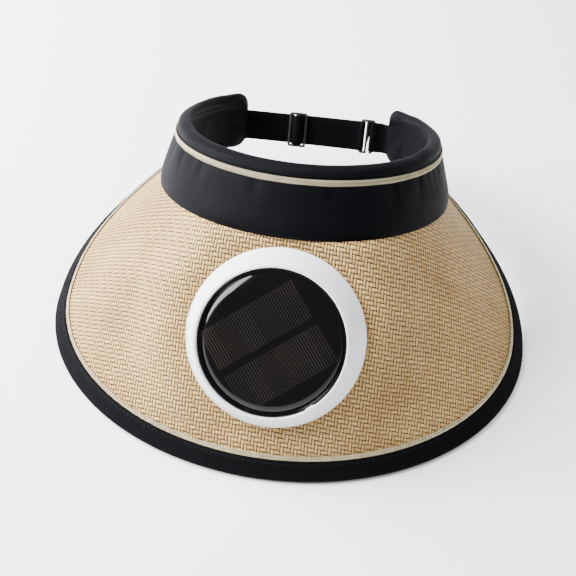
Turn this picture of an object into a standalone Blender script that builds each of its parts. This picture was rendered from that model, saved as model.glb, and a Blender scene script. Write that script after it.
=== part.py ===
"""Solar fan hat: an open-crown straw sun visor with a solar fan unit in its brim.

Run in Blender 4.5: blender --background --python part.py
Units are metres, +Z is up, the wearer looks along -Y. The hat stands on its
brim's edge, and its origin is the middle of its footprint.
"""

import math

import bmesh
import bpy
from mathutils import Matrix, Vector

MM = 0.001
GAP = 0.3 * MM                    # clearance between pieces that touch

# Headband. Its own frame has Z along the head's axis, which leans back.
BAND_LEAN = math.radians(25.0)
BAND_RISE = 58.2 * MM             # height of the band's frame above the floor
SEAM_HALF_WIDTH = 92.0 * MM       # outer half width at the bottom seam
SEAM_FRONT = 104.5 * MM           # from the frame's origin to the front, at the seam
SEAM_REAR = 89.0 * MM             # rear half length of the same curve
BAND_HEIGHT = 40.0 * MM
BAND_FLARE = 0.30                 # how much wider per height towards the seam
REAR_FLARE = 0.06
BAND_WALL = 4.2 * MM              # padded cloth
ROLL_DEPTH = 8.0 * MM             # thickness of the padded top roll
TAB_END = 49.0 * MM               # half the opening between the two end tabs
TAB_CORNER = 10.0 * MM            # corner radius of a tab's end
BAND_STEPS = 40

# Braid round the headband
BRAID_RISE = 30.6 * MM            # its middle above the seam
BRAID_WIDTH = 4.0 * MM
BRAID_THICK = 1.2 * MM
BRAID_END = 3.5 * MM              # stops this far from a tab's end

# Brim
BRIM_WALL = 1.8 * MM
SEAM_GAP = 0.4 * MM               # between the band's foot and the straw's upper face
BRIM_HALF_WIDTH = 148.2 * MM
BRIM_WIDEST = -69.0 * MM          # where the brim is widest, along Y
BRIM_FRONT = 117.5 * MM           # from its widest place to its front edge
BRIM_EDGE_RISE = 2.2 * MM         # edge's upper face above the floor
BRIM_TAIL_ANGLE = math.radians(104.0)
BRIM_TAIL_WIDTH = 7.0 * MM
TAIL_FULLNESS = (2.05, 1.00)      # powers of the tail's outline seen from above
TAIL_RISE = 1.35                  # power of the tail's rise
WIDEST_SHARE = 0.52               # share of the rulings in front of the widest place
BRIM_STEPS = 50
BRIM_STEP = 2.0 / BRIM_STEPS      # one station as a share
BRIM_ROWS = (0.0, 0.05, 0.18, 0.34, 0.50, 0.66, 0.82, 1.0)   # shares of the bare straw

# Binding folded over the brim's edge, and the braid beside it
BINDING_WIDTH = 10.6 * MM
BINDING_WALL = 1.0 * MM
BINDING_ROUND = 0.8 * MM
TAIL_SLACK = 2.0                  # gaps more round the straw at the tails
EDGE_BRAID_WIDTH = 2.8 * MM
EDGE_BRAID_THICK = 1.2 * MM

# Fan unit, on the brim's middle line
RING_CLEAR = 5.08 * MM            # straw between the ring and the band's seam
RING_RADIUS = 50.6 * MM
RING_HEIGHT = 12.7 * MM
RING_WALL = 1.6 * MM
RING_OFFSET = (-1.6 * MM, -1.9 * MM)   # the lip and panel sit off the foot's middle
RIM_HEIGHT = 1.6 * MM             # upright outer edge of the ring
SEAT_MARGIN = 2.5 * MM            # flat straw outside the ring
SEAT_BLEND = 38.0 * MM            # over which the straw curves away again
PANEL_RADIUS = 41.2 * MM
PANEL_THICK = 2.3 * MM
PANEL_DOME = 1.6 * MM
PANEL_SHOULDER = 3.0 * MM
LEDGE_WIDTH = 2.7 * MM
LIP_RISE = 0.4 * MM               # lip above the panel's edge, over the gaps
DRUM_RADIUS = 35.0 * MM
DRUM_WALL = 1.6 * MM
DRUM_DEPTH = 10.6 * MM            # below the brim's lower face
FLANGE_RADIUS = 42.0 * MM
FLANGE_THICK = 1.4 * MM
INTAKE_COUNT = 16
INTAKE_WIDTH = 3.2 * MM
INTAKE_SHARE = 0.55               # slot height as a share of the drum's free wall
GUARD_THICK = 1.6 * MM
GUARD_BAR = 1.3 * MM
GUARD_RINGS = 3
GUARD_SPOKES = 6
MOTOR_RADIUS = 10.0 * MM
MOTOR_HEIGHT = 8.0 * MM
SHAFT_RADIUS = 1.1 * MM
HUB_HEIGHT = 7.5 * MM
BLADE_COUNT = 7
BLADE_TIP_GAP = 1.9 * MM
BLADE_THICK = 1.1 * MM
ROUND_STEPS = 40

# Elastic strap between the tabs, its slider and its hook
STRAP_RISE = 15.5 * MM            # strap's middle above the seam
STRAP_WIDTH = 20.0 * MM
STRAP_THICK = 1.0 * MM
STRAP_TUCK = 8.0 * MM             # length sewn into each tab
STRAP_GAP = 0.35 * MM             # between the layers of the strap
STRAP_SLACK = 0.1 * MM            # further room where the strap bends
SLIDER_PLACE = 0.362              # share of the free span, from the left tab
SLIDER_BAR = 1.6 * MM
SLIDER_SLOT = 3.8 * MM
SLIDER_THICK = 1.2 * MM
HOOK_PLACE = 0.856
HOOK_BAR = 1.5 * MM
HOOK_THICK = 1.6 * MM
HOOK_LEFT_SLOT = 2.4 * MM
HOOK_RIGHT_SLOT = 2.8 * MM
HOOK_MOUTH = 1.7 * MM
FRAME_MARK = 20.0 * MM            # drawn size of the frames' empties

# Section of the headband, clockwise from the outer foot: share of the band's
# height, share of the wall inwards, share of the roll's depth inwards
BAND_SECTION = (
    # height, wall, roll
    (0.000, 0.25, 0.00),
    (0.020, 0.00, 0.00),
    (0.820, 0.00, 0.00),
    (0.870, 0.00, 0.00),
    (0.920, 0.00, -0.03),
    (0.965, 0.00, 0.10),
    (0.995, 0.00, 0.34),
    (0.990, 0.00, 0.66),
    (0.945, 0.00, 0.92),
    (0.880, 0.00, 1.00),
    (0.800, 0.00, 0.80),
    (0.700, 1.10, 0.00),
    (0.020, 1.00, 0.00),
    (0.000, 0.75, 0.00),
)


# Small helpers

def smooth(share):
    """0 to 1 with level ends."""
    share = min(1.0, max(0.0, share))
    return share * share * (3.0 - 2.0 * share)


def material(name, colour, roughness, metallic=0.0):
    """A Principled material, made once for each name."""
    if name in bpy.data.materials:
        return bpy.data.materials[name]
    made = bpy.data.materials.new(name)
    made.use_nodes = True
    shader = made.node_tree.nodes["Principled BSDF"]
    shader.inputs["Base Color"].default_value = (*colour, 1.0)
    shader.inputs["Roughness"].default_value = roughness
    shader.inputs["Metallic"].default_value = metallic
    return made


def straw():
    return material("straw", (0.60, 0.42, 0.22), 0.75)


def black_cloth():
    return material("black_cloth", (0.012, 0.012, 0.015), 0.65)


def cream_braid():
    return material("cream_braid", (0.80, 0.72, 0.55), 0.75)


def black_elastic():
    return material("black_elastic", (0.015, 0.015, 0.017), 0.85)


def black_plastic():
    return material("black_plastic", (0.015, 0.015, 0.016), 0.35)


def white_plastic():
    return material("white_plastic", (0.80, 0.81, 0.84), 0.30)


def panel_gloss():
    return material("panel_gloss", (0.012, 0.008, 0.008), 0.08)


def motor_metal():
    return material("motor_metal", (0.55, 0.55, 0.56), 0.35, 1.0)


def place(item, parent, finish, collection, angle=35.0):
    """Link an object, give it its parent and material, and shade it."""
    bpy.data.collections[collection].objects.link(item)
    item.parent = parent
    item.data.materials.append(finish)
    if item.type == "MESH":
        item.data.shade_smooth()
        item.data.set_sharp_from_angle(angle=math.radians(angle))
    return item


def mesh_object(name, points, faces=(), edges=()):
    mesh = bpy.data.meshes.new(name)
    mesh.from_pydata([tuple(point) for point in points], edges, faces)
    mesh.validate()
    return bpy.data.objects.new(name, mesh)


def loft(name, rings):
    """A closed body through sections with equally many points."""
    count = len(rings[0])
    points = [point for ring in rings for point in ring]
    faces = []
    for row in range(len(rings) - 1):
        for step in range(count):
            here = row * count + step
            beside = row * count + (step + 1) % count
            faces.append((here, beside, beside + count, here + count))
    faces.append(tuple(reversed(range(count))))
    faces.append(tuple(range(len(points) - count, len(points))))
    item = mesh_object(name, points, faces)
    face_outwards(item.data)
    return item


def face_outwards(mesh):
    work = bmesh.new()
    work.from_mesh(mesh)
    bmesh.ops.recalc_face_normals(work, faces=work.faces)
    if work.calc_volume(signed=True) < 0:
        bmesh.ops.reverse_faces(work, faces=work.faces)
    work.to_mesh(mesh)
    work.free()


def turned(name, profile, steps=ROUND_STEPS, loop=True):
    """A body of revolution about Z from (radius, height) points.

    A loop is a ring's whole section. Otherwise the profile starts and ends
    on the axis. Both run down their outer side.
    """
    points = [(radius, 0.0, height) for radius, height in profile]
    edges = [(i, i + 1) for i in range(len(points) - 1)]
    if loop:
        edges.append((len(points) - 1, 0))
    item = mesh_object(name, points, edges=edges)
    screw = item.modifiers.new("turn", "SCREW")
    screw.axis = "Z"
    screw.angle = 2.0 * math.pi
    screw.steps = steps
    screw.render_steps = steps
    screw.use_merge_vertices = True
    screw.merge_threshold = 0.00001
    screw.use_smooth_shade = True
    return item


def ribbon(name, route, width, thickness, middle):
    """Webbing: a route of (x, y) points, upright width, even thickness."""
    points = []
    for x, y in route:
        points.append((x, y, middle - width / 2))
        points.append((x, y, middle + width / 2))
    faces = [(2 * i, 2 * i + 2, 2 * i + 3, 2 * i + 1) for i in range(len(route) - 1)]
    item = mesh_object(name, points, faces)
    wall = item.modifiers.new("thickness", "SOLIDIFY")
    wall.thickness = thickness
    wall.offset = 0.0
    wall.use_even_offset = True
    return item


def plate(name, outlines, thickness):
    """A flat plate from closed outlines: the first is its edge, others are holes."""
    curve = bpy.data.curves.new(name, "CURVE")
    curve.dimensions = "2D"
    curve.fill_mode = "BOTH"
    curve.extrude = thickness / 2
    for outline in outlines:
        spline = curve.splines.new("POLY")
        spline.points.add(len(outline) - 1)
        for point, (x, y) in zip(spline.points, outline):
            point.co = (x, y, 0.0, 1.0)
        spline.use_cyclic_u = True
    flat = bpy.data.objects.new(name + "_outline", curve)
    bpy.data.collections["cutters"].objects.link(flat)
    bpy.context.view_layer.update()
    seen = flat.evaluated_get(bpy.context.evaluated_depsgraph_get())
    mesh = bpy.data.meshes.new_from_object(seen)
    bpy.data.objects.remove(flat)
    work = bmesh.new()
    work.from_mesh(mesh)
    bmesh.ops.remove_doubles(work, verts=work.verts, dist=0.00001)
    work.to_mesh(mesh)
    work.free()
    face_outwards(mesh)
    return bpy.data.objects.new(name, mesh)


def box(name, low, high):
    """A box between two corners, from a cube."""
    work = bmesh.new()
    bmesh.ops.create_cube(work, size=1.0)
    low = Vector(low)
    high = Vector(high)
    size = high - low
    bmesh.ops.scale(work, vec=size, verts=work.verts)
    bmesh.ops.translate(work, vec=(low + high) / 2, verts=work.verts)
    mesh = bpy.data.meshes.new(name)
    work.to_mesh(mesh)
    work.free()
    return bpy.data.objects.new(name, mesh)


def tool(item, parent):
    """Put a cutter or a joined-in piece in the cutters' collection."""
    bpy.data.collections["cutters"].objects.link(item)
    item.parent = parent
    item.hide_render = True
    item.display_type = "WIRE"
    return item


def combine(item, cutter, operation):
    step = item.modifiers.new(operation.lower() + "_" + cutter.name, "BOOLEAN")
    step.operation = operation
    step.solver = "EXACT"
    step.object = cutter


# The headband's shape, in its own frame

def band_axes(height, depth):
    """Half width, front and rear lengths of the band's curve at a height."""
    out = BAND_FLARE * height + depth
    rear = REAR_FLARE * height + depth
    return SEAM_HALF_WIDTH - out, SEAM_FRONT - out, SEAM_REAR - rear


def band_curve(share, height, depth):
    """A point of the band; share runs from -1 at one tab's end to 1 at the other."""
    end = math.pi - math.asin(TAB_END / band_axes(height, depth)[0])
    return band_point(share * end, height, depth)


def band_point(angle, height, depth):
    """A point at an angle from the front."""
    half, front, rear = band_axes(height, depth)
    reach = front if math.cos(angle) > 0 else rear
    return Vector((half * math.sin(angle), -reach * math.cos(angle), height))


def band_length():
    """Rough length of the band from its front to a tab's end."""
    last = band_curve(0.0, BAND_HEIGHT / 2, BAND_WALL / 2)
    total = 0.0
    for step in range(1, 25):
        point = band_curve(step / 24, BAND_HEIGHT / 2, BAND_WALL / 2)
        total += (point - last).length
        last = point
    return total


def band_shares(length, last_gap):
    """Stations along the band, closer together at the rounded ends."""
    ends = [last_gap, 0.09 * TAB_CORNER, 0.28 * TAB_CORNER, 0.58 * TAB_CORNER]
    inner = 1.0 - TAB_CORNER / length
    half = [inner * 2.0 * step / BAND_STEPS for step in range(1, BAND_STEPS // 2 + 1)]
    half += [1.0 - end / length for end in reversed(ends)]
    return [-share for share in reversed(half)] + [0.0] + half


def headband(band):
    """Padded wall with a rolled top and rounded end tabs."""
    length = band_length()
    rings = []
    for share in band_shares(length, 0.02 * TAB_CORNER):
        to_end = (1.0 - abs(share)) * length
        rest = max(0.0, TAB_CORNER - to_end)
        pinch = TAB_CORNER - math.sqrt(TAB_CORNER ** 2 - rest ** 2)
        thin = min(1.0, to_end / (0.35 * TAB_CORNER))
        thin = 0.35 + 0.65 * math.sqrt(1.0 - (1.0 - thin) ** 2)
        ring = []
        for height, wall, roll in BAND_SECTION:
            level = pinch + height * (BAND_HEIGHT - 2.0 * pinch)
            depth = wall * BAND_WALL + roll * ROLL_DEPTH
            depth = BAND_WALL / 2 + (depth - BAND_WALL / 2) * thin
            ring.append(band_curve(share, level, depth))
        rings.append(ring)
    item = loft("headband", rings)
    place(item, band, black_cloth(), "solar_fan_hat", 60.0)
    for side in (-1, 1):
        pocket = ribbon(f"pocket_{side}", tucked_end(side, STRAP_TUCK + GAP, TAB_CORNER),
                        STRAP_WIDTH + 2.0 * GAP, STRAP_THICK + 2.0 * GAP, STRAP_RISE)
        combine(item, tool(pocket, band), "DIFFERENCE")
    return item


def band_braid(band):
    """Flat braid round the band, below its roll."""
    length = band_length()
    foot = BRAID_RISE - BRAID_WIDTH / 2
    top = BRAID_RISE + BRAID_WIDTH / 2
    edge = 0.18 * BRAID_WIDTH
    section = (
        (foot, -GAP),
        (foot, -GAP - BRAID_THICK / 2),
        (foot + edge, -GAP - BRAID_THICK),
        (top - edge, -GAP - BRAID_THICK),
        (top, -GAP - BRAID_THICK / 2),
        (top, -GAP),
    )
    last = 1.0 - BRAID_END / length
    rings = []
    for step in range(-BAND_STEPS // 2, BAND_STEPS // 2 + 1):
        share = last * step / (BAND_STEPS / 2)
        rings.append([band_curve(share, level, depth) for level, depth in section])
    item = loft("band_braid", rings)
    return place(item, band, cream_braid(), "solar_fan_hat", 60.0)


# The brim's shape, in the hat's frame

def to_hat(point):
    """From the band's frame to the hat's."""
    turn = Matrix.Rotation(-BAND_LEAN, 3, "X")
    return turn @ point + Vector((0.0, 0.0, BAND_RISE))


def seam_point(share):
    """Top face of the brim where it leaves the band."""
    depth = BAND_WALL / 2 - BRIM_WALL / 2
    return to_hat(band_point(share * BRIM_TAIL_ANGLE, -SEAM_GAP, depth))


def tail_point():
    """Outer corner of the brim's tail, on the right."""
    foot = band_point(BRIM_TAIL_ANGLE, 0.0, BAND_WALL / 2 - BRIM_WALL / 2)
    out = Vector((foot.x, foot.y, 0.0)).normalized()
    return to_hat(foot + BRIM_TAIL_WIDTH * (0.66 * out + Vector((0.0, 0.0, -0.75))))


def edge_point(share):
    """Top face of the brim at its outer edge."""
    side = -1.0 if share < 0 else 1.0
    share = abs(share)
    if share <= WIDEST_SHARE:
        angle = share / WIDEST_SHARE * math.pi / 2
        return Vector((side * BRIM_HALF_WIDTH * math.sin(angle),
                       BRIM_WIDEST - BRIM_FRONT * math.cos(angle), BRIM_EDGE_RISE))
    tail = tail_point()
    along = min(1.0, (share - WIDEST_SHARE) / (1.0 - WIDEST_SHARE))
    plan, power = TAIL_FULLNESS
    out = (1.0 - along ** plan) ** power
    return Vector((side * (tail.x + (BRIM_HALF_WIDTH - tail.x) * out),
                   BRIM_WIDEST + (tail.y - BRIM_WIDEST) * along,
                   BRIM_EDGE_RISE + (tail.z - BRIM_EDGE_RISE) * along ** TAIL_RISE))


def unit_frame():
    """Middle of the ring on the brim, with Z out of the straw and Y up the brim."""
    start = seam_point(0.0)
    down = (edge_point(0.0) - start).normalized()
    across = Vector((1.0, 0.0, 0.0))
    frame = Matrix((across, -down, down.cross(across))).transposed().to_4x4()
    frame.translation = start + down * (RING_CLEAR + RING_RADIUS)
    return frame


def binding_reach(length):
    """Width of the binding on a ruling of the brim."""
    return min(BINDING_WIDTH, 0.55 * length)


def brim_point(share, along):
    """Top face of the brim: straight rulings, flattened under the ring."""
    start = seam_point(share)
    line = edge_point(share) - start
    point = start + line * along
    local = unit_frame().inverted() @ point
    away = math.hypot(local.x, local.y)
    flat = 1.0 - smooth((away - RING_RADIUS - SEAT_MARGIN) / SEAT_BLEND)
    flat *= smooth(along * line.length / (0.5 * RING_CLEAR))
    clear = (1.0 - along) * line.length - binding_reach(line.length) - EDGE_BRAID_WIDTH
    flat *= smooth(clear / BINDING_WIDTH)
    local.z *= 1.0 - flat
    return unit_frame() @ local


def brim_normal(share, along):
    """Outward direction of the brim's top face."""
    west = brim_point(max(-1.0, share - BRIM_STEP), along)
    east = brim_point(min(1.0, share + BRIM_STEP), along)
    up = brim_point(share, max(0.0, along - 0.004))
    down = brim_point(share, min(1.0, along + 0.004))
    return (down - up).cross(east - west).normalized()


def braid_band(length):
    """Where the edge braid lies on a ruling: its outer and inner side."""
    near = binding_reach(length) + GAP
    return near, near + min(EDGE_BRAID_WIDTH, 0.25 * length)


def brim_rows(share):
    """Rows of the straw's mesh on a ruling, with one under each side of the trim."""
    length = (edge_point(share) - seam_point(share)).length
    near, far = braid_band(length)
    bare = 1.0 - far / length
    return [row * bare for row in BRIM_ROWS] + [1.0 - near / length, 1.0]


def brim_shares():
    return [step / (BRIM_STEPS / 2) for step in range(-BRIM_STEPS // 2, BRIM_STEPS // 2 + 1)]


def straw_brim(hat, unit):
    """Straw shell with a round hole for the fan unit's drum."""
    shares = brim_shares()
    points = [brim_point(share, along) for share in shares for along in brim_rows(share)]
    rows = len(BRIM_ROWS) + 2
    faces = []
    for step in range(len(shares) - 1):
        for row in range(rows - 1):
            here = step * rows + row
            faces.append((here, here + 1, here + rows + 1, here + rows))
    item = mesh_object("straw_brim", points, faces)
    wall = item.modifiers.new("thickness", "SOLIDIFY")
    wall.thickness = BRIM_WALL
    wall.offset = -1.0
    wall.use_even_offset = True
    place(item, hat, straw(), "solar_fan_hat", 60.0)
    deep = 6.0 * BRIM_WALL
    radius = DRUM_RADIUS + GAP
    hole = turned("drum_hole", ((0.0, deep), (radius, deep), (radius, -deep), (0.0, -deep)),
                  loop=False)
    combine(item, tool(hole, unit), "DIFFERENCE")
    return item


def edge_frame(share):
    """Edge point, outward ruling, upward normal and ruling length."""
    edge = edge_point(share)
    line = edge - seam_point(share)
    ahead = edge_point(min(1.0, share + BRIM_STEP)) - edge_point(max(-1.0, share - BRIM_STEP))
    out = line.normalized()
    up = out.cross(ahead).normalized()
    return edge, out, up, line.length


def brim_binding(hat):
    """Tape folded over the edge, flattened where it rests and looser on the twisted tails."""
    rings = []
    for share in brim_shares():
        edge, out, up, length = edge_frame(share)
        reach = binding_reach(length)
        room = GAP * (1.0 + TAIL_SLACK * smooth((abs(share) - 0.88) / 0.08))
        lower = -BRIM_WALL - room
        section = (
            (-reach, room),
            (-reach, room + BINDING_WALL),
            (room + BINDING_WALL - BINDING_ROUND, room + BINDING_WALL),
            (room + BINDING_WALL, room + BINDING_WALL - BINDING_ROUND),
            (room + BINDING_WALL, lower - BINDING_WALL + BINDING_ROUND),
            (room + BINDING_WALL - BINDING_ROUND, lower - BINDING_WALL),
            (-reach, lower - BINDING_WALL),
            (-reach, lower),
            (room, lower),
            (room, room),
        )
        ring = [edge + out * along + up * rise for along, rise in section]
        for point in ring:
            point.z = max(0.0, point.z)
        rings.append(ring)
    item = loft("brim_binding", rings)
    return place(item, hat, black_cloth(), "solar_fan_hat", 50.0)


def edge_braid(hat):
    """Narrow braid on the straw along the binding's inner edge."""
    rings = []
    side = 0.2 * EDGE_BRAID_WIDTH
    for share in brim_shares():
        length = (edge_point(share) - seam_point(share)).length
        near, far = braid_band(length)
        section = (
            (near, GAP),
            (near, 0.6 * EDGE_BRAID_THICK + GAP),
            (near + side, EDGE_BRAID_THICK + GAP),
            (far - side, EDGE_BRAID_THICK + GAP),
            (far, 0.6 * EDGE_BRAID_THICK + GAP),
            (far, GAP),
        )
        ring = []
        for inside, rise in section:
            along = 1.0 - inside / length
            ring.append(brim_point(share, along) + brim_normal(share, along) * rise)
        rings.append(ring)
    item = loft("edge_braid", rings)
    return place(item, hat, cream_braid(), "solar_fan_hat", 60.0)


# The fan unit, in its own frame: height 0 is the straw's upper face

def ledge_height():
    """Height of the ledge that carries the panel."""
    return RING_HEIGHT - PANEL_THICK - 2.0 * GAP - LIP_RISE


def guard_top():
    """Upper face of the guard."""
    return -BRIM_WALL - GAP - DRUM_DEPTH - GAP


def motor_top():
    return guard_top() + GAP + MOTOR_HEIGHT


def offset_top(item):
    """Lean a turned piece so that its top stands off the middle of its foot."""
    graph = bpy.context.evaluated_depsgraph_get()
    bpy.context.view_layer.update()
    mesh = bpy.data.meshes.new_from_object(item.evaluated_get(graph))
    for vertex in mesh.vertices:
        share = vertex.co.z / RING_HEIGHT
        vertex.co.x += RING_OFFSET[0] * share
        vertex.co.y += RING_OFFSET[1] * share
    item.modifiers.clear()
    item.data = mesh


def fan_bezel(unit):
    """White ring: a hollow cone on a flat foot, with a ledge for the panel."""
    bore = PANEL_RADIUS + GAP
    foot = GAP + 1.2 * MM
    ledge = ledge_height()
    lip = RING_HEIGHT
    profile = (
        (bore + 0.9 * MM, lip),
        (bore + 1.8 * MM, lip - 0.3 * MM),
        (bore + 2.6 * MM, lip - 1.2 * MM),
        (RING_RADIUS - 0.8 * MM, GAP + RIM_HEIGHT + 0.9 * MM),
        (RING_RADIUS, GAP + RIM_HEIGHT),
        (RING_RADIUS, GAP),
        (DRUM_RADIUS - DRUM_WALL, GAP),
        (DRUM_RADIUS - DRUM_WALL, foot),
        (RING_RADIUS - 1.6 * RING_WALL, foot),
        (bore + 0.6 * MM, ledge - 1.2 * MM),
        (bore - LEDGE_WIDTH, ledge - 1.2 * MM),
        (bore - LEDGE_WIDTH, ledge),
        (bore, ledge),
        (bore, lip - 0.6 * MM),
    )
    item = turned("fan_bezel", profile)
    place(item, unit, white_plastic(), "solar_fan_hat", 30.0)
    offset_top(item)
    return item


def solar_panel(unit):
    """Domed disc with a rounded shoulder."""
    foot = ledge_height() + GAP
    top = foot + PANEL_THICK
    inner = PANEL_RADIUS - PANEL_SHOULDER
    profile = (
        (0.0, top + PANEL_DOME),
        (0.5 * inner, top + 0.8 * PANEL_DOME),
        (inner, top + 0.25 * PANEL_DOME),
        (PANEL_RADIUS - 0.35 * PANEL_SHOULDER, top - 0.18 * PANEL_THICK),
        (PANEL_RADIUS, top - 0.5 * PANEL_THICK),
        (PANEL_RADIUS, foot),
        (0.0, foot),
    )
    item = turned("solar_panel", profile, loop=False)
    place(item, unit, panel_gloss(), "solar_fan_hat", 40.0)
    offset_top(item)
    return item


def fan_housing(unit):
    """Drum under the brim, with a flange that clamps the straw and intake slots."""
    under = -BRIM_WALL - GAP
    foot = under - DRUM_DEPTH
    inner = DRUM_RADIUS - DRUM_WALL
    profile = (
        (DRUM_RADIUS, 0.0),
        (DRUM_RADIUS, under),
        (FLANGE_RADIUS, under),
        (FLANGE_RADIUS, under - FLANGE_THICK),
        (DRUM_RADIUS, under - FLANGE_THICK),
        (DRUM_RADIUS, foot),
        (inner, foot),
        (inner, 0.0),
    )
    item = turned("fan_housing", profile)
    place(item, unit, white_plastic(), "solar_fan_hat", 30.0)
    free = DRUM_DEPTH - FLANGE_THICK
    low = foot + (1.0 - INTAKE_SHARE) / 2 * free
    high = low + INTAKE_SHARE * free
    reach = 1.2 * DRUM_RADIUS
    for number in range(INTAKE_COUNT // 2):
        slot = box(f"intake_{number}", (-reach, -INTAKE_WIDTH / 2, low),
                   (reach, INTAKE_WIDTH / 2, high))
        slot.rotation_euler.z = 2.0 * math.pi * (number + 0.5) / INTAKE_COUNT
        combine(item, tool(slot, unit), "DIFFERENCE")
    return item


def guard_slots(rim, seat):
    """All the openings of the guard, as one cutter of curved bars."""
    pitch = (rim - seat) / GUARD_RINGS
    low = guard_top() - 3.0 * GUARD_THICK
    high = guard_top() + 2.0 * GUARD_THICK
    work = bmesh.new()
    for row in range(GUARD_RINGS):
        steps = row + 2
        inner = seat + row * pitch + (GUARD_BAR / 2 if row else 0.0)
        outer = seat + (row + 1) * pitch - (GUARD_BAR / 2 if row < GUARD_RINGS - 1 else 0.0)
        for number in range(GUARD_SPOKES):
            middle = 2.0 * math.pi * (number + 0.5) / GUARD_SPOKES
            outline = []
            for radius, way in ((outer, 1), (inner, -1)):
                half = math.pi / GUARD_SPOKES - math.asin(GUARD_BAR / 2 / radius)
                for step in range(steps + 1):
                    angle = middle + way * half * (2.0 * step / steps - 1.0)
                    outline.append((radius * math.cos(angle), radius * math.sin(angle)))
            foot = work.faces.new([work.verts.new((x, y, low)) for x, y in outline])
            grown = bmesh.ops.extrude_face_region(work, geom=[foot])["geom"]
            risen = [part for part in grown if isinstance(part, bmesh.types.BMVert)]
            bmesh.ops.translate(work, vec=(0.0, 0.0, high - low), verts=risen)
    mesh = bpy.data.meshes.new("guard_slots")
    work.to_mesh(mesh)
    work.free()
    face_outwards(mesh)
    return bpy.data.objects.new("guard_slots", mesh)


def fan_guard(unit):
    """Grille that closes the drum: a disc cut through round a motor seat."""
    top = guard_top()
    foot = top - GUARD_THICK
    profile = ((0.0, top), (DRUM_RADIUS, top), (DRUM_RADIUS, foot), (0.0, foot))
    item = turned("fan_guard", profile, loop=False)
    place(item, unit, white_plastic(), "solar_fan_hat", 30.0)
    slots = guard_slots(DRUM_RADIUS - 2.0 * DRUM_WALL, MOTOR_RADIUS + GUARD_BAR)
    combine(item, tool(slots, unit), "DIFFERENCE")
    return item


def fan_motor(unit):
    """Motor can on the guard's seat, bored for the rotor's shaft."""
    foot = guard_top() + GAP
    top = motor_top()
    bore = SHAFT_RADIUS + GAP
    floor = top - 0.8 * MOTOR_HEIGHT
    edge = 0.6 * MM
    profile = (
        (0.0, floor),
        (bore, floor),
        (bore, top),
        (MOTOR_RADIUS - edge, top),
        (MOTOR_RADIUS, top - edge),
        (MOTOR_RADIUS, foot),
        (0.0, foot),
    )
    item = turned("fan_motor", profile, 24, loop=False)
    return place(item, unit, motor_metal(), "solar_fan_hat", 30.0)


def blade(number, radius, middle):
    """One twisted blade, from inside the hub to its tip."""
    root = 0.6 * MOTOR_RADIUS
    # share of the blade's length, chord as a share of the tip's, pitch in degrees
    stations = ((0.0, 0.62, 46.0), (0.35, 0.80, 38.0), (0.70, 0.95, 31.0), (1.0, 1.0, 26.0))
    chord = 0.50 * radius
    rings = []
    for along, wide, pitch in stations:
        reach = root + along * (radius - root)
        tilt = math.radians(pitch)
        half = 0.5 * chord * wide
        ring = []
        for side, face in ((-1, -1), (1, -1), (1, 1), (-1, 1)):
            across = side * half
            rise = face * BLADE_THICK / 2
            y = across * math.cos(tilt) - rise * math.sin(tilt)
            z = across * math.sin(tilt) + rise * math.cos(tilt)
            ring.append(Vector((math.sqrt(max(0.0, reach ** 2 - y ** 2)), y, middle + z)))
        rings.append(ring)
    item = loft(f"blade_{number}", rings)
    item.rotation_euler.z = 2.0 * math.pi * number / BLADE_COUNT
    return item


def fan_rotor(spin):
    """Hub, shaft and blades on the spin axis; the parent stands at the hub's foot."""
    hub = MOTOR_RADIUS
    edge = 1.2 * MM
    shaft_end = -2.0 * GAP - 0.7 * MOTOR_HEIGHT
    profile = (
        (0.0, HUB_HEIGHT),
        (hub - edge, HUB_HEIGHT),
        (hub, HUB_HEIGHT - edge),
        (hub, 0.0),
        (SHAFT_RADIUS, 0.0),
        (SHAFT_RADIUS, shaft_end),
        (0.0, shaft_end),
    )
    item = turned("fan_rotor", profile, 28, loop=False)
    place(item, spin, black_plastic(), "solar_fan_hat", 35.0)
    radius = DRUM_RADIUS - DRUM_WALL - BLADE_TIP_GAP
    for number in range(BLADE_COUNT):
        combine(item, tool(blade(number, radius, 0.5 * HUB_HEIGHT), spin), "UNION")
    return item


# The strap, in the band's frame

def strap_line():
    """Y of the straight stretch between the tabs."""
    return band_curve(1.0, STRAP_RISE, BAND_WALL / 2).y


def tucked_end(side, length, lead):
    """Route from inside a tab to its mouth and a little way out."""
    half, _, rear = band_axes(STRAP_RISE, BAND_WALL / 2)
    end = math.pi - math.asin(TAB_END / half)
    route = []
    for step in (1.0, 0.66, 0.33, 0.0):
        point = band_point(end - step * length / (0.5 * (half + rear)), STRAP_RISE, BAND_WALL / 2)
        route.append((side * point.x, point.y))
    last = Vector(route[-1])
    course = (last - Vector(route[-2])).normalized()
    route.append(tuple(last + course * 0.12 * lead))
    return route


def free_span(share):
    """X on the strap, as a share of the opening between the tabs."""
    return -TAB_END + 2.0 * TAB_END * share


def fold(centre_x, centre_y, radius, turns):
    """Half circle round a bar, from its back to its front, to the right."""
    route = []
    for step in range(turns + 1):
        angle = math.pi / 2 - math.pi * step / turns
        route.append((centre_x + radius * math.cos(angle), centre_y + radius * math.sin(angle)))
    return route


def slider_levels():
    """Distance from the slider's middle plane to a first and a second layer."""
    first = SLIDER_THICK / 2 + STRAP_GAP + STRAP_THICK / 2
    second = first + STRAP_GAP + STRAP_THICK
    return first, second


def hook_radius():
    return math.hypot(HOOK_BAR, HOOK_THICK) / 2 + STRAP_GAP + STRAP_THICK / 2


def hook_level():
    """Y of the hook's middle plane behind the slider's."""
    first, second = slider_levels()
    return (first + second) / 2


def hook_posts():
    """X of the hook's three bars."""
    middle = free_span(HOOK_PLACE)
    left = middle - HOOK_BAR / 2 - HOOK_LEFT_SLOT - HOOK_BAR / 2
    right = middle + HOOK_BAR / 2 + HOOK_RIGHT_SLOT + HOOK_BAR / 2
    return left, middle, right


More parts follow.
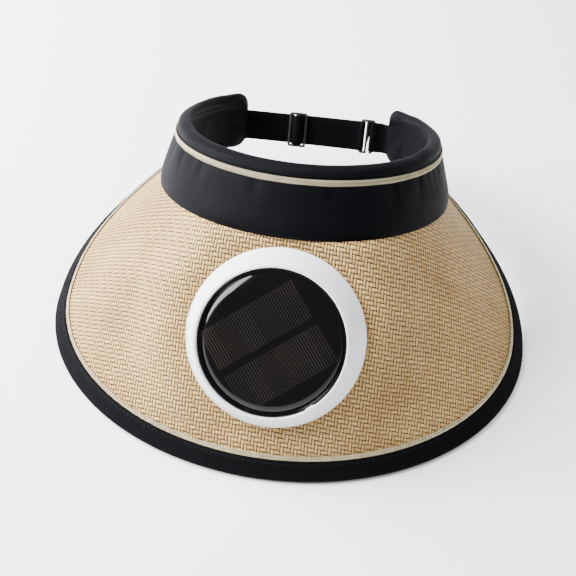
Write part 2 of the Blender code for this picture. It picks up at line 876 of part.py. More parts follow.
def strap_left(band):
    """Elastic from the left tab, through the slider, round the hook and back."""
    line = strap_line()
    centre = free_span(SLIDER_PLACE)
    bar = SLIDER_BAR / 2
    slot = SLIDER_SLOT
    first, second = slider_levels()
    inner = bar + STRAP_GAP + STRAP_THICK / 2
    post = hook_posts()[0]
    radius = hook_radius()
    level = hook_level()
    lift = first + 1.5 * STRAP_SLACK
    under = second + STRAP_SLACK

    route = tucked_end(-1, STRAP_TUCK, TAB_CORNER)
    over = [(-bar - slot - 6.0 * bar, lift), (-bar - slot - 0.1 * bar, lift),
            (-bar - 0.78 * slot, 0.62 * lift), (-bar - 0.62 * slot, -0.12 * lift),
            (-bar - 0.34 * slot, -0.82 * second), (-0.9 * bar, -under),
            (0.9 * bar, -under), (bar + 0.27 * slot, -0.82 * second),
            (bar + 0.55 * slot, -0.25 * lift), (bar + 0.74 * slot, 0.62 * lift),
            (bar + slot, lift), (bar + slot + 4.0 * bar, lift)]
    route += [(centre + x, line + y) for x, y in over]
    back = fold(post, line + level, radius, 8)
    route.append((post - 3.0 * radius, line + lift - 2.0 * STRAP_SLACK))
    route += list(reversed(back))
    tail = second + STRAP_GAP
    route.append((post - 3.0 * radius, line + tail + 3.0 * STRAP_SLACK))
    route += [(centre + bar + slot + 4.0 * bar, line + tail),
              (centre + bar + 0.85 * slot, line + tail),
              (centre + bar + 0.1 * slot, line + first + STRAP_SLACK)]
    for x, y in ((-0.35 * bar, first), (-0.6 * inner, 0.9 * first), (-inner, 0.45 * first),
                 (-inner, -0.45 * first), (-0.6 * inner, -0.9 * first), (0.2 * bar, -first)):
        route.append((centre + x, line + y))
    item = ribbon("strap_left", route, STRAP_WIDTH, STRAP_THICK, STRAP_RISE)
    return place(item, band, black_elastic(), "solar_fan_hat", 40.0)


def strap_right(band):
    """Folded loop on the right tab, round the hook's open bar."""
    line = strap_line()
    post = hook_posts()[2]
    radius = hook_radius()
    level = hook_level()
    # the front layer runs into the tab, the back layer ends on its own sewn end
    route = tucked_end(1, STRAP_TUCK, TAB_CORNER)
    route.append((post + 3.0 * radius, line + level - 0.5 * radius))
    turned_back = [(2.0 * post - x, y) for x, y in fold(post, line + level, radius, 8)]
    route += list(reversed(turned_back))
    lap = STRAP_THICK + STRAP_GAP + 1.5 * STRAP_SLACK
    route.append((post + 3.0 * radius, line + level - 0.5 * radius + lap))
    route.append((TAB_END - 2.5 * STRAP_THICK, line + lap + 2.5 * STRAP_SLACK))
    item = ribbon("strap_right", route, STRAP_WIDTH, STRAP_THICK, STRAP_RISE)
    return place(item, band, black_elastic(), "solar_fan_hat", 40.0)


def upright(item, x, y):
    """Stand a flat plate up in the strap's plane."""
    item.location = (x, y, STRAP_RISE)
    item.rotation_euler.x = math.pi / 2
    return item


def rectangle(left, right, low, high):
    return [(left, low), (right, low), (right, high), (left, high)]


def strap_slider(band):
    """Three-bar slider."""
    tall = STRAP_WIDTH / 2 + 2.0 * GAP
    half = SLIDER_BAR / 2
    wide = half + SLIDER_SLOT + SLIDER_BAR
    corner = 0.6 * SLIDER_BAR
    top = tall + SLIDER_BAR
    edge = [(-wide + corner, -top), (wide - corner, -top), (wide, -top + corner),
            (wide, top - corner), (wide - corner, top), (-wide + corner, top),
            (-wide, top - corner), (-wide, -top + corner)]
    slots = [rectangle(-half - SLIDER_SLOT, -half, -tall, tall),
             rectangle(half, half + SLIDER_SLOT, -tall, tall)]
    item = plate("strap_slider", [edge] + slots, SLIDER_THICK)
    upright(item, free_span(SLIDER_PLACE), strap_line())
    return place(item, band, black_plastic(), "solar_fan_hat", 30.0)


def strap_hook(band):
    """Hook with a closed slot for the left strap and an open one for the right."""
    tall = STRAP_WIDTH / 2 + 2.0 * GAP
    left, middle, right = (x - free_span(HOOK_PLACE) for x in hook_posts())
    half = HOOK_BAR / 2
    top = tall + HOOK_BAR
    corner = 0.6 * HOOK_BAR
    mouth = middle + half + HOOK_MOUTH
    edge = [(left - half + corner, -top), (middle + half, -top), (middle + half, tall),
            (right - half, tall), (right - half, -tall), (mouth, -tall - 0.3 * HOOK_BAR),
            (mouth, -top), (right + half - corner, -top), (right + half, -top + corner),
            (right + half, top - corner), (right + half - corner, top),
            (left - half + corner, top), (left - half, top - corner),
            (left - half, -top + corner)]
    slot = rectangle(left + half, middle - half, -tall, tall)
    item = plate("strap_hook", [edge, slot], HOOK_THICK)
    upright(item, free_span(HOOK_PLACE), strap_line() + hook_level())
    return place(item, band, black_plastic(), "solar_fan_hat", 30.0)


# Frames and assembly

def empty(name, parent=None, frame=None):
    item = bpy.data.objects.new(name, None)
    bpy.data.collections["solar_fan_hat"].objects.link(item)
    item.empty_display_size = FRAME_MARK
    item.parent = parent
    if frame is not None:
        item.matrix_local = frame
    return item


def centre_footprint(hat):
    """Move the hat so that its box stands on the origin."""
    bpy.context.view_layer.update()
    graph = bpy.context.evaluated_depsgraph_get()
    corners = []
    for item in bpy.data.collections["solar_fan_hat"].objects:
        if item.type == "MESH":
            seen = item.evaluated_get(graph)
            mesh = seen.to_mesh()
            corners += [seen.matrix_world @ vertex.co for vertex in mesh.vertices]
            seen.to_mesh_clear()
    low = [min(point[axis] for point in corners) for axis in range(3)]
    high = [max(point[axis] for point in corners) for axis in range(3)]
    hat.location = (-(low[0] + high[0]) / 2, -(low[1] + high[1]) / 2, -low[2])


def build():
    for item in list(bpy.data.objects):
        bpy.data.objects.remove(item)
    for name in ("solar_fan_hat", "cutters"):
        group = bpy.data.collections.new(name)
        bpy.context.scene.collection.children.link(group)

    hat = empty("hat_frame")
    lean = Matrix.Translation((0.0, 0.0, BAND_RISE)) @ Matrix.Rotation(-BAND_LEAN, 4, "X")
    band = empty("band_frame", hat, lean)
    unit = empty("unit_frame", hat, unit_frame())
    spin = empty("spin_axis", unit, Matrix.Translation((0.0, 0.0, motor_top() + GAP)))

    headband(band)
    band_braid(band)
    straw_brim(hat, unit)
    brim_binding(hat)
    edge_braid(hat)
    fan_bezel(unit)
    solar_panel(unit)
    fan_housing(unit)
    fan_guard(unit)
    fan_motor(unit)
    fan_rotor(spin)
    strap_left(band)
    strap_right(band)
    strap_slider(band)
    strap_hook(band)
    centre_footprint(hat)


build()
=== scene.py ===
"""Looks of the straw sun visor with a solar fan: straw, padding, trim, plastics, light and camera.

Units are metres and +Z is up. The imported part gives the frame, and each piece made here
rides on one of its bodies.
"""

import math
import random
from contextlib import contextmanager

import bpy
import numpy as np
from mathutils import Matrix, Vector


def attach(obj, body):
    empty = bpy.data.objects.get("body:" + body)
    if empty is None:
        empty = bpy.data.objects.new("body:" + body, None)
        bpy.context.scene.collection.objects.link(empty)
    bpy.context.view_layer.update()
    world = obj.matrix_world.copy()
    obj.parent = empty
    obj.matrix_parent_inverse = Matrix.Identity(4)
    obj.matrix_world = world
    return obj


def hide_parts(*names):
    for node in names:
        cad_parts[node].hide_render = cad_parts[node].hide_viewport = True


MM = 0.001
GAP = 0.3 * MM
HAT_SHIFT = Vector((0.0, 54.551 * MM, 0.0))     # from the hat's own middle to the row's origin

# Headband, as the part has it
BAND_LEAN = math.radians(25.0)
BAND_RISE = 58.2 * MM
SEAM_HALF_WIDTH = 92.0 * MM
SEAM_FRONT = 104.5 * MM
SEAM_REAR = 89.0 * MM
BAND_HEIGHT = 40.0 * MM
BAND_FLARE = 0.30
REAR_FLARE = 0.06
BAND_WALL = 4.2 * MM
ROLL_DEPTH = 8.0 * MM
TAB_END = 49.0 * MM
TAB_CORNER = 10.0 * MM
BRAID_RISE = 30.6 * MM
BRAID_WIDTH = 4.0 * MM
BRAID_THICK = 1.2 * MM
BRAID_END = 3.5 * MM
BAND_SECTION = (
    # share of the height, of the wall inwards, of the roll's depth inwards
    (0.000, 0.25, 0.00),
    (0.020, 0.00, 0.00),
    (0.400, 0.00, 0.00),
    (0.790, 0.00, 0.00),
    (0.870, 0.00, 0.00),
    (0.920, 0.00, -0.03),
    (0.965, 0.00, 0.10),
    (0.995, 0.00, 0.34),
    (0.990, 0.00, 0.66),
    (0.945, 0.00, 0.92),
    (0.880, 0.00, 1.00),
    (0.800, 0.00, 0.80),
    (0.700, 1.10, 0.00),
    (0.400, 1.00, 0.00),
    (0.020, 1.00, 0.00),
    (0.000, 0.75, 0.00),
)

# Brim, as the part has it
BRIM_WALL = 1.8 * MM
SEAM_GAP = 0.4 * MM
BRIM_HALF_WIDTH = 148.2 * MM
BRIM_WIDEST = -69.0 * MM
BRIM_FRONT = 117.5 * MM
BRIM_EDGE_RISE = 2.2 * MM
BRIM_TAIL_ANGLE = math.radians(104.0)
BRIM_TAIL_WIDTH = 7.0 * MM
TAIL_OUT = 0.66                    # the tail's way outwards and up, as shares of its width
TAIL_UP = -0.75
TAIL_FULLNESS = (2.05, 1.00)
TAIL_RISE = 1.35
WIDEST_SHARE = 0.52
BRIM_STEP = 0.04                   # shares that a direction round or down the brim is read over
RULING_STEP = 0.004
BRIM_FINE = 110                    # stations on each half of the brim's pieces here
BINDING_WIDTH = 10.6 * MM
BINDING_SHARE = 0.55               # most of a short ruling that the tape covers
BINDING_WALL = 1.0 * MM
TAIL_SLACK = 2.0
EDGE_BRAID_WIDTH = 2.8 * MM
EDGE_BRAID_THICK = 1.2 * MM

# Fan unit, as the part has it
RING_CLEAR = 5.08 * MM
RING_RADIUS = 50.6 * MM
RING_HEIGHT = 12.7 * MM
RING_WALL = 1.6 * MM
RING_OFFSET = (-1.6 * MM, -1.9 * MM)
RIM_HEIGHT = 1.6 * MM
SEAT_MARGIN = 2.5 * MM
SEAT_BLEND = 38.0 * MM
PANEL_RADIUS = 41.2 * MM
PANEL_THICK = 2.3 * MM
LEDGE_WIDTH = 2.7 * MM
LIP_RISE = 0.4 * MM
DRUM_RADIUS = 35.0 * MM
DRUM_WALL = 1.6 * MM
DRUM_DEPTH = 10.6 * MM
GUARD_THICK = 1.6 * MM
GUARD_BAR = 1.3 * MM
GUARD_RINGS = 3
GUARD_SPOKES = 6
MOTOR_RADIUS = 10.0 * MM

# Strap, as the part has it
STRAP_RISE = 15.5 * MM
STRAP_WIDTH = 20.0 * MM
STRAP_THICK = 1.0 * MM
STRAP_TUCK = 8.0 * MM
STRAP_GAP = 0.35 * MM
STRAP_SLACK = 0.1 * MM
SLIDER_PLACE = 0.362
SLIDER_BAR = 1.6 * MM
SLIDER_SLOT = 3.8 * MM
SLIDER_THICK = 1.2 * MM
HOOK_PLACE = 0.856
HOOK_BAR = 1.5 * MM
HOOK_THICK = 1.6 * MM
HOOK_LEFT_SLOT = 2.4 * MM
HOOK_RIGHT_SLOT = 2.8 * MM

# The straw cloth, its strands and how it lies on the brim
STRAND_ACROSS = 1.9 * MM
STRAND_ALONG = 2.55 * MM
WEFT_SKEW = 0.065
WEFT_BOW = 0.35                    # per metre

# The solar cells
CELL_TURN = math.radians(36.7)
CELL_LENGTH = 10.9 * MM
FINGER_PITCH = 1.56 * MM
ROWS_APART = 4.2 * MM
ROWS_REACH = 25.8 * MM
ROWS_HALF_LENGTH = 30.2 * MM

# Seams and stitches of the headband
STITCH_RISE = 34.6 * MM
STITCH_END = 0.955

# The photograph's camera, in the hat's own frame
PHOTO_TURN = math.radians(5.87)
PHOTO_RISE = math.radians(48.26)
PHOTO_ROLL = math.radians(2.49)
PHOTO_AIM = Vector((-8.17 * MM, 0.0, -45.23 * MM))
PHOTO_DISTANCE = 0.75
PHOTO_FOCUS = 1044.12              # in pixels
PHOTO_WIDTH = 576.0
SENSOR_WIDTH = 36.0

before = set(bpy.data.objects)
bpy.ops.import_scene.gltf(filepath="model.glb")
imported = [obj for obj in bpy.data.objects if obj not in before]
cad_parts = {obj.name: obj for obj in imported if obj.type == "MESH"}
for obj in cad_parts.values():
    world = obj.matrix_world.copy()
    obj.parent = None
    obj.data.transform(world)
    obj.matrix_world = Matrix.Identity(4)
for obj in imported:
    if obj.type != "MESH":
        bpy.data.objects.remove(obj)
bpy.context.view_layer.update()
random.seed(7)


# Shapes the pieces follow

def smooth(share):
    """0 to 1 with level ends."""
    share = min(1.0, max(0.0, share))
    return share * share * (3.0 - 2.0 * share)


def band_axes(height, depth):
    """Half width, front and rear lengths of the band's curve at a height."""
    out = BAND_FLARE * height + depth
    rear = REAR_FLARE * height + depth
    return SEAM_HALF_WIDTH - out, SEAM_FRONT - out, SEAM_REAR - rear


def band_point(angle, height, depth):
    """A point of the band's curve; angle 0 is the front."""
    half, front, rear = band_axes(height, depth)
    reach = front if math.cos(angle) > 0 else rear
    return Vector((half * math.sin(angle), -reach * math.cos(angle), height))


def band_curve(share, height, depth):
    """A point of the band; share runs from -1 at one tab's end to 1 at the other."""
    end = math.pi - math.asin(TAB_END / band_axes(height, depth)[0])
    return band_point(share * end, height, depth)


def band_length():
    """Length of the band from its front to a tab's end."""
    last = band_curve(0.0, BAND_HEIGHT / 2, BAND_WALL / 2)
    total = 0.0
    for step in range(1, 25):
        point = band_curve(step / 24, BAND_HEIGHT / 2, BAND_WALL / 2)
        total += (point - last).length
        last = point
    return total


def band_to_hat(point):
    """From the band's frame to the hat's."""
    return Matrix.Rotation(-BAND_LEAN, 3, "X") @ point + Vector((0.0, 0.0, BAND_RISE))


def band_to_row(point):
    """From the band's frame to the row's."""
    return band_to_hat(Vector(point)) + HAT_SHIFT


def seam_point(share):
    """Top face of the brim where it leaves the band."""
    depth = BAND_WALL / 2 - BRIM_WALL / 2
    return band_to_hat(band_point(share * BRIM_TAIL_ANGLE, -SEAM_GAP, depth))


def tail_point():
    """Tip of the brim's tail, just below the band's end."""
    foot = band_point(BRIM_TAIL_ANGLE, 0.0, BAND_WALL / 2 - BRIM_WALL / 2)
    out = Vector((foot.x, foot.y, 0.0)).normalized()
    return band_to_hat(foot + BRIM_TAIL_WIDTH * (TAIL_OUT * out + Vector((0.0, 0.0, TAIL_UP))))


TAIL = tail_point()


def edge_point(share):
    """Top face of the brim at its outer edge."""
    side = -1.0 if share < 0 else 1.0
    share = abs(share)
    if share <= WIDEST_SHARE:
        angle = share / WIDEST_SHARE * math.pi / 2
        return Vector((side * BRIM_HALF_WIDTH * math.sin(angle),
                       BRIM_WIDEST - BRIM_FRONT * math.cos(angle), BRIM_EDGE_RISE))
    along = min(1.0, (share - WIDEST_SHARE) / (1.0 - WIDEST_SHARE))
    out = (1.0 - along ** TAIL_FULLNESS[0]) ** TAIL_FULLNESS[1]
    return Vector((side * (TAIL.x + (BRIM_HALF_WIDTH - TAIL.x) * out),
                   BRIM_WIDEST + (TAIL.y - BRIM_WIDEST) * along,
                   BRIM_EDGE_RISE + (TAIL.z - BRIM_EDGE_RISE) * along ** TAIL_RISE))


def unit_frame():
    """Middle of the ring on the brim, with Z out of the straw and Y up the brim."""
    start = seam_point(0.0)
    down = (edge_point(0.0) - start).normalized()
    across = Vector((1.0, 0.0, 0.0))
    made = Matrix((across, -down, down.cross(across))).transposed().to_4x4()
    made.translation = start + down * (RING_CLEAR + RING_RADIUS)
    return made


UNIT = unit_frame()
UNIT_BACK = UNIT.inverted()
UNIT_ROW = Matrix.Translation(HAT_SHIFT) @ UNIT
FRONT_LENGTH = (edge_point(0.0) - seam_point(0.0)).length


def binding_reach(length):
    """How far the tape covers a ruling of this length."""
    return min(BINDING_WIDTH, BINDING_SHARE * length)


def brim_point(share, along):
    """Top face of the brim: straight rulings, flattened under the ring."""
    start = seam_point(share)
    line = edge_point(share) - start
    local = UNIT_BACK @ (start + line * along)
    away = math.hypot(local.x, local.y)
    flat = 1.0 - smooth((away - RING_RADIUS - SEAT_MARGIN) / SEAT_BLEND)
    flat *= smooth(along * line.length / (0.5 * RING_CLEAR))
    clear = (1.0 - along) * line.length - binding_reach(line.length) - EDGE_BRAID_WIDTH
    flat *= smooth(clear / BINDING_WIDTH)
    local.z *= 1.0 - flat
    return UNIT @ local


def brim_normal(share, along):
    """Direction out of the straw's top face."""
    west = brim_point(max(-1.0, share - BRIM_STEP), along)
    east = brim_point(min(1.0, share + BRIM_STEP), along)
    up = brim_point(share, max(0.0, along - RULING_STEP))
    down = brim_point(share, min(1.0, along + RULING_STEP))
    return (down - up).cross(east - west).normalized()


def edge_frame(share):
    """Edge point, outward ruling, upward normal and ruling length."""
    edge = edge_point(share)
    line = edge - seam_point(share)
    ahead = edge_point(min(1.0, share + BRIM_STEP)) - edge_point(max(-1.0, share - BRIM_STEP))
    out = line.normalized()
    return edge, out, out.cross(ahead).normalized(), line.length


def brim_shares():
    """Stations round the brim, from one tail to the other."""
    return [step / BRIM_FINE for step in range(-BRIM_FINE, BRIM_FINE + 1)]


def rounded_line(points, parts, closed=False):
    """A smooth line through points, each stretch cut in equal parts."""
    points = [Vector(point) for point in points]
    count = len(points)
    made = []
    for i in range(count if closed else count - 1):
        a, b, c, d = (points[k % count] if closed else points[min(max(k, 0), count - 1)]
                      for k in (i - 1, i, i + 1, i + 2))
        for step in range(parts):
            t = step / parts
            made.append(0.5 * (2.0 * b + (c - a) * t + (2.0 * a - 5.0 * b + 4.0 * c - d) * t * t
                               + (3.0 * b - a - 3.0 * c + d) * t ** 3))
    if not closed:
        made.append(points[-1])
    return made


# Making and finishing meshes

def deselect():
    """Leave edit mode, with nothing selected."""
    if bpy.context.mode != "OBJECT":
        bpy.ops.object.mode_set(mode="OBJECT")
    bpy.ops.object.select_all(action="DESELECT")


def take(item):
    """Make one object the only selected one."""
    deselect()
    item.select_set(True)
    bpy.context.view_layer.objects.active = item


@contextmanager
def editing(item, action="SELECT"):
    """Edit mode on one object, with all of its mesh selected or none."""
    take(item)
    bpy.ops.object.mode_set(mode="EDIT")
    bpy.ops.mesh.select_all(action=action)
    yield
    bpy.ops.object.mode_set(mode="OBJECT")


def applied(item, kind, **settings):
    """Add a modifier and apply it at once."""
    take(item)
    step = item.modifiers.new(kind.lower(), kind)
    for key, value in settings.items():
        setattr(step, key, value)
    bpy.ops.object.modifier_apply(modifier=step.name)


def shaded(item, angle=40.0):
    """Smooth shading, except over edges sharper than the angle in degrees."""
    take(item)
    bpy.ops.object.shade_smooth_by_angle(angle=math.radians(angle))


def finished(item, slot, finish, *nodes):
    """Give a piece its finish and its body, and hide the nodes it stands for; the slot is not used.
    """
    item.data.materials.clear()
    item.data.materials.append(finish)
    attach(item, "hat")
    if nodes:
        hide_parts(*nodes)
    return item


def linked(name, mesh):
    """A new object in the scene."""
    item = bpy.data.objects.new(name, mesh)
    bpy.context.scene.collection.objects.link(item)
    return item


def mesh_piece(name, points, faces):
    """A new object from points and faces."""
    mesh = bpy.data.meshes.new(name)
    mesh.from_pydata([tuple(point) for point in points], [], faces)
    return linked(name, mesh)


def set_corners(item, name, values):
    """A UV map from one pair of numbers for each face corner."""
    layer = item.data.uv_layers.new(name=name)
    layer.data.foreach_set("uv", np.array(values, np.float32).ravel())


def tube_faces(rings, count):
    """Faces between rings of points, and one over each end."""
    faces = []
    for row in range(rings - 1):
        for step in range(count):
            here, beside = row * count + step, row * count + (step + 1) % count
            faces.append((here, beside, beside + count, here + count))
    last = (rings - 1) * count
    return faces + [tuple(reversed(range(count))), tuple(range(last, last + count))]


def loft(name, rings):
    """A closed body through sections, with a UV map in metres: along it, and round it."""
    count = len(rings[0])
    middles = [sum(ring, Vector()) / count for ring in rings]
    along = [0.0]
    for last, here in zip(middles, middles[1:]):
        along.append(along[-1] + (here - last).length)
    middle = rings[len(rings) // 2]
    around = [0.0]
    for step in range(count):
        around.append(around[-1] + (middle[(step + 1) % count] - middle[step]).length)
    corners = []
    for start, end in zip(along, along[1:]):
        for low, high in zip(around, around[1:]):
            corners += [(start, low), (start, high), (end, high), (end, low)]
    corners += [(along[0], around[step]) for step in reversed(range(count))]
    corners += [(along[-1], around[step]) for step in range(count)]
    points = [point for ring in rings for point in ring]
    item = mesh_piece(name, points, tube_faces(len(rings), count))
    set_corners(item, "cloth", corners)
    with editing(item):
        bpy.ops.mesh.normals_make_consistent(inside=False)
    return item


def turned(name, profile, steps, closed_ring=True):
    """A round piece raised from one circle: each profile point is one extruded loop."""
    deselect()
    radius, height = profile[0]
    bpy.ops.mesh.primitive_circle_add(vertices=steps, radius=radius, location=(0.0, 0.0, height))
    item = bpy.context.object
    item.name = item.data.name = name
    bpy.ops.object.transform_apply(location=True)
    with editing(item):
        for reach, level in list(profile[1:]) + ([profile[0]] if closed_ring else []):
            bpy.ops.mesh.extrude_edges_indiv()
            bpy.ops.transform.translate(value=(0.0, 0.0, level - height))
            grow = reach / radius
            bpy.ops.transform.resize(value=(grow, grow, 1.0), center_override=(0.0, 0.0, level))
            radius, height = reach, level
        if not closed_ring:
            bpy.ops.mesh.merge(type="CENTER")
        bpy.ops.mesh.select_all(action="SELECT")
        bpy.ops.mesh.remove_doubles(threshold=0.002 * MM)
        bpy.ops.mesh.normals_make_consistent(inside=False)
    return item


def lean_onto_unit(item):
    """Shift the top off the foot's middle, as the part does, and set the piece on the brim."""
    for vertex in item.data.vertices:
        share = vertex.co.z / RING_HEIGHT
        vertex.co.x += RING_OFFSET[0] * share
        vertex.co.y += RING_OFFSET[1] * share
    item.data.transform(UNIT_ROW)


def rounded_copy(node, name, width, segments=2):
    """A copy of a hard CAD node with its edges rounded."""
    item = linked(name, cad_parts[node].data.copy())
    with editing(item):
        bpy.ops.mesh.remove_doubles(threshold=0.02 * MM)
        bpy.ops.mesh.dissolve_limited(angle_limit=math.radians(1.0))
    applied(item, "BEVEL", width=width, segments=segments, limit_method="ANGLE",
            angle_limit=math.radians(35.0))
    applied(item, "TRIANGULATE")
    shaded(item, 35.0)
    return item


# Lines that stitches and plaits follow

class Line:
    """A line on a surface, with places, directions and normals by length."""

    def __init__(self, points, normals):
        self.points = np.array(points)
        steps = np.linalg.norm(np.diff(self.points, axis=0), axis=1)
        self.at = np.concatenate([[0.0], np.cumsum(steps)])
        self.length = float(self.at[-1])
        self.along = np.gradient(self.points, self.at, axis=0)
        self.along /= np.linalg.norm(self.along, axis=1)[:, None]
        out = np.array(normals)
        out -= self.along * (out * self.along).sum(1)[:, None]
        self.out = out / np.linalg.norm(out, axis=1)[:, None]
        self.side = np.cross(self.out, self.along)

    def read(self, values, at):
        """Values at places given by length."""
        return np.stack([np.interp(at, self.at, values[:, axis]) for axis in range(3)], -1)

    def lay(self, shape, starts):
        """Copies of a small shape (along, across, out), bent onto the line."""
        at = starts[:, None] + shape[None, :, 0]
        return (self.read(self.points, at)
                + self.read(self.side, at) * shape[None, :, 1, None]
                + self.read(self.out, at) * shape[None, :, 2, None])


def bead(course, radius, rings, sides):
    """Points and faces of one tapered strand along a course of (along, across, out) points."""
    course = rounded_line(course, (rings - 1) // (len(course) - 1) or 1)
    points = []
    for i, middle in enumerate(course):
        ahead = (course[min(i + 1, len(course) - 1)] - course[max(i - 1, 0)]).normalized()
        side = ahead.cross(Vector((0.0, 0.0, 1.0))).normalized()
        up = side.cross(ahead)
        share = i / (len(course) - 1)
        thick = radius * max(0.30, math.sin(math.pi * (0.08 + 0.84 * share)) ** 0.6)
        for step in range(sides):
            angle = 2.0 * math.pi * step / sides
            points.append(middle + thick * (math.cos(angle) * side + math.sin(angle) * up))
    return np.array([tuple(point) for point in points]), tube_faces(len(course), sides)


def strewn(name, line, kinds, pitch, margin, shade_core=None):
    """One piece made of many small strands laid along a line, each with its own tone, and an
    optional strip under them with tone 0, painted dark as shade.
    """
    points, faces, tones = [], [], []

    def add(copy, plan, tone):
        base = len(points)
        points.extend(tuple(point) for point in copy)
        faces.extend(tuple(base + corner for corner in face) for face in plan)
        tones.extend([tone] * len(copy))

    starts = np.arange(margin, line.length - margin, pitch)
    for shape, plan in kinds:
        for copy in line.lay(shape, starts):
            add(copy, plan, random.uniform(0.55, 1.0))
    if shade_core:
        half, thick = shade_core
        strip = np.array([(0.0, -half, 0.0), (0.0, half, 0.0),
                          (0.0, 0.8 * half, thick), (0.0, -0.8 * half, thick)])
        rings = line.lay(strip, line.at)
        # tone 0 marks the strip, painted dark as the shade between strands
        add(rings.reshape(-1, 3), tube_faces(len(rings), len(strip)), 0.0)
    item = mesh_piece(name, points, faces)
    tone = item.data.attributes.new("tone", "FLOAT", "POINT")
    tone.data.foreach_set("value", tones)
    with editing(item):
        bpy.ops.mesh.normals_make_consistent(inside=False)
    bpy.ops.object.shade_smooth()
    return item


# Node trees

def feed(tree, socket, value):
    """Link another socket in, or set a number, a place or a colour without its alpha."""
    if isinstance(value, bpy.types.NodeSocket):
        tree.links.new(value, socket)
    else:
        socket.default_value = (*value, 1.0) if socket.type == "RGBA" else value


def put(tree, kind, sockets=None, **settings):
    """Add a node, set it, and feed its inputs by name or number."""
    made = tree.nodes.new(kind)
    for key, value in settings.items():
        setattr(made, key, value)
    for key, value in (sockets or {}).items():
        feed(tree, made.inputs[key], value)
    return made


def calc(tree, operation, *values, clamp=False):
    """One step of arithmetic."""
    return put(tree, "ShaderNodeMath", dict(enumerate(values)), operation=operation,
               use_clamp=clamp).outputs[0]


def move(tree, operation, sockets):
    """One step of arithmetic on places."""
    return put(tree, "ShaderNodeVectorMath", sockets, operation=operation).outputs[0]


def blend(tree, share, first, second):
    """Mix two colours."""
    return put(tree, "ShaderNodeMix", {0: share, 6: first, 7: second},
               data_type="RGBA").outputs[2]


def spread(tree, value, low, high, new_low=0.0, new_high=1.0, soft=False):
    """Map one range of numbers to another."""
    return put(tree, "ShaderNodeMapRange", {0: value, 1: low, 2: high, 3: new_low, 4: new_high},
               interpolation_type="SMOOTHSTEP" if soft else "LINEAR").outputs[0]


def noise(tree, place, scale, detail):
    """Cloudy noise: its outputs."""
    return put(tree, "ShaderNodeTexNoise",
               {"Vector": place, "Scale": scale, "Detail": detail}).outputs


def random_number(tree, number):
    """A random share for each whole number."""
    return put(tree, "ShaderNodeTexWhiteNoise", {"W": number},
               noise_dimensions="1D").outputs["Value"]


def stretched(tree, place, scale):
    """The same place, scaled on each axis."""
    return put(tree, "ShaderNodeMapping", {"Vector": place, "Scale": scale}).outputs[0]


def object_place(tree):
    """A place in the piece's own space."""
    return put(tree, "ShaderNodeTexCoord").outputs["Object"]


def uv_place(tree, name):
    """A place on one of the piece's UV maps."""
    return put(tree, "ShaderNodeUVMap", uv_map=name).outputs[0]


def tone_of(tree):
    """Each strand's own tone."""
    return put(tree, "ShaderNodeAttribute", attribute_name="tone").outputs["Fac"]


def group(name, takes, gives):
    """An empty node group: takes gives each input's default, or None for a place."""
    tree = bpy.data.node_groups.new(name, "ShaderNodeTree")
    for label, default in takes.items():
        kind = "NodeSocketVector" if default is None else "NodeSocketFloat"
        socket = tree.interface.new_socket(label, in_out="INPUT", socket_type=kind)
        if default is not None:
            socket.default_value = default
    for label in gives:
        tree.interface.new_socket(label, in_out="OUTPUT", socket_type="NodeSocketFloat")
    return tree, put(tree, "NodeGroupInput").outputs, put(tree, "NodeGroupOutput").inputs


def woven_threads():
    """Two over, two under: height, which thread is on top, a number for each thread, and masks of
    the low gaps between threads and the pits where four meet, where painted shade goes.
    """
    tree, take_in, give = group(
        "Woven threads",
        {"Place": None, "Across": 0.002, "Along": 0.002, "Roundness": 3.0},
        ("Height", "Upright on top", "Thread", "Gap shade", "Pit"))
    parts = put(tree, "ShaderNodeSeparateXYZ", {0: take_in["Place"]}).outputs
    u = calc(tree, "DIVIDE", parts[0], take_in["Across"])
    v = calc(tree, "DIVIDE", parts[1], take_in["Along"])
    column, row = calc(tree, "FLOOR", u), calc(tree, "FLOOR", v)
    in_column, in_row = calc(tree, "SUBTRACT", u, column), calc(tree, "SUBTRACT", v, row)
    # the pattern comes round every four threads, and two of them pass over
    phase = calc(tree, "MULTIPLY", calc(tree, "ADD", column, row), 0.25)
    phase = calc(tree, "MULTIPLY", calc(tree, "FRACT", calc(tree, "ADD", phase, 0.01)), 4.0)
    phase = calc(tree, "FLOOR", phase)
    upright = calc(tree, "LESS_THAN", phase, 1.5)

    def hump(share, power):
        side = calc(tree, "ABSOLUTE", calc(tree, "MULTIPLY_ADD", share, 2.0, -1.0))
        return calc(tree, "SUBTRACT", 1.0, calc(tree, "POWER", side, power), clamp=True)

    def strand(inside, place):
        length = calc(tree, "MULTIPLY", place, 0.5)
        bow = calc(tree, "MULTIPLY_ADD", hump(length, 4.0), 0.5, 0.5)
        return calc(tree, "MULTIPLY", hump(inside, take_in["Roundness"]), bow)

    over = strand(in_column, calc(tree, "ADD", phase, in_row))
    level = strand(in_row, calc(tree, "ADD", calc(tree, "SUBTRACT", phase, 2.0), in_column))
    height = spread(tree, upright, 0.0, 1.0, level, over)
    number = spread(tree, upright, 0.0, 1.0, calc(tree, "ADD", row, 431.0), column)
    corner = calc(tree, "MULTIPLY", calc(tree, "SUBTRACT", 1.0, hump(in_column, 3.0)),
                  calc(tree, "SUBTRACT", 1.0, hump(in_row, 3.0)))
    results = {"Height": height, "Upright on top": upright,
               "Thread": random_number(tree, number),
               "Gap shade": spread(tree, height, 0.30, 0.80, 1.0, 0.0, True),
               "Pit": spread(tree, corner, 0.12, 0.34, 0.0, 1.0, True)}
    for label, value in results.items():
        tree.links.new(value, give[label])
    return tree


def fine_grain():
    """Moulded or coated surfaces: a slow drift of tone and a fine pebble."""
    tree, take_in, give = group(
        "Fine grain", {"Place": None, "Pebble size": 0.0004, "Drift size": 0.03},
        ("Pebble", "Drift"))
    for size, label, detail in (("Pebble size", "Pebble", 2.0), ("Drift size", "Drift", 4.0)):
        scale = calc(tree, "DIVIDE", 1.0, take_in[size])
        tree.links.new(noise(tree, take_in["Place"], scale, detail)["Fac"], give[label])
    return tree


WEAVE_GROUP = woven_threads()
GRAIN_GROUP = fine_grain()


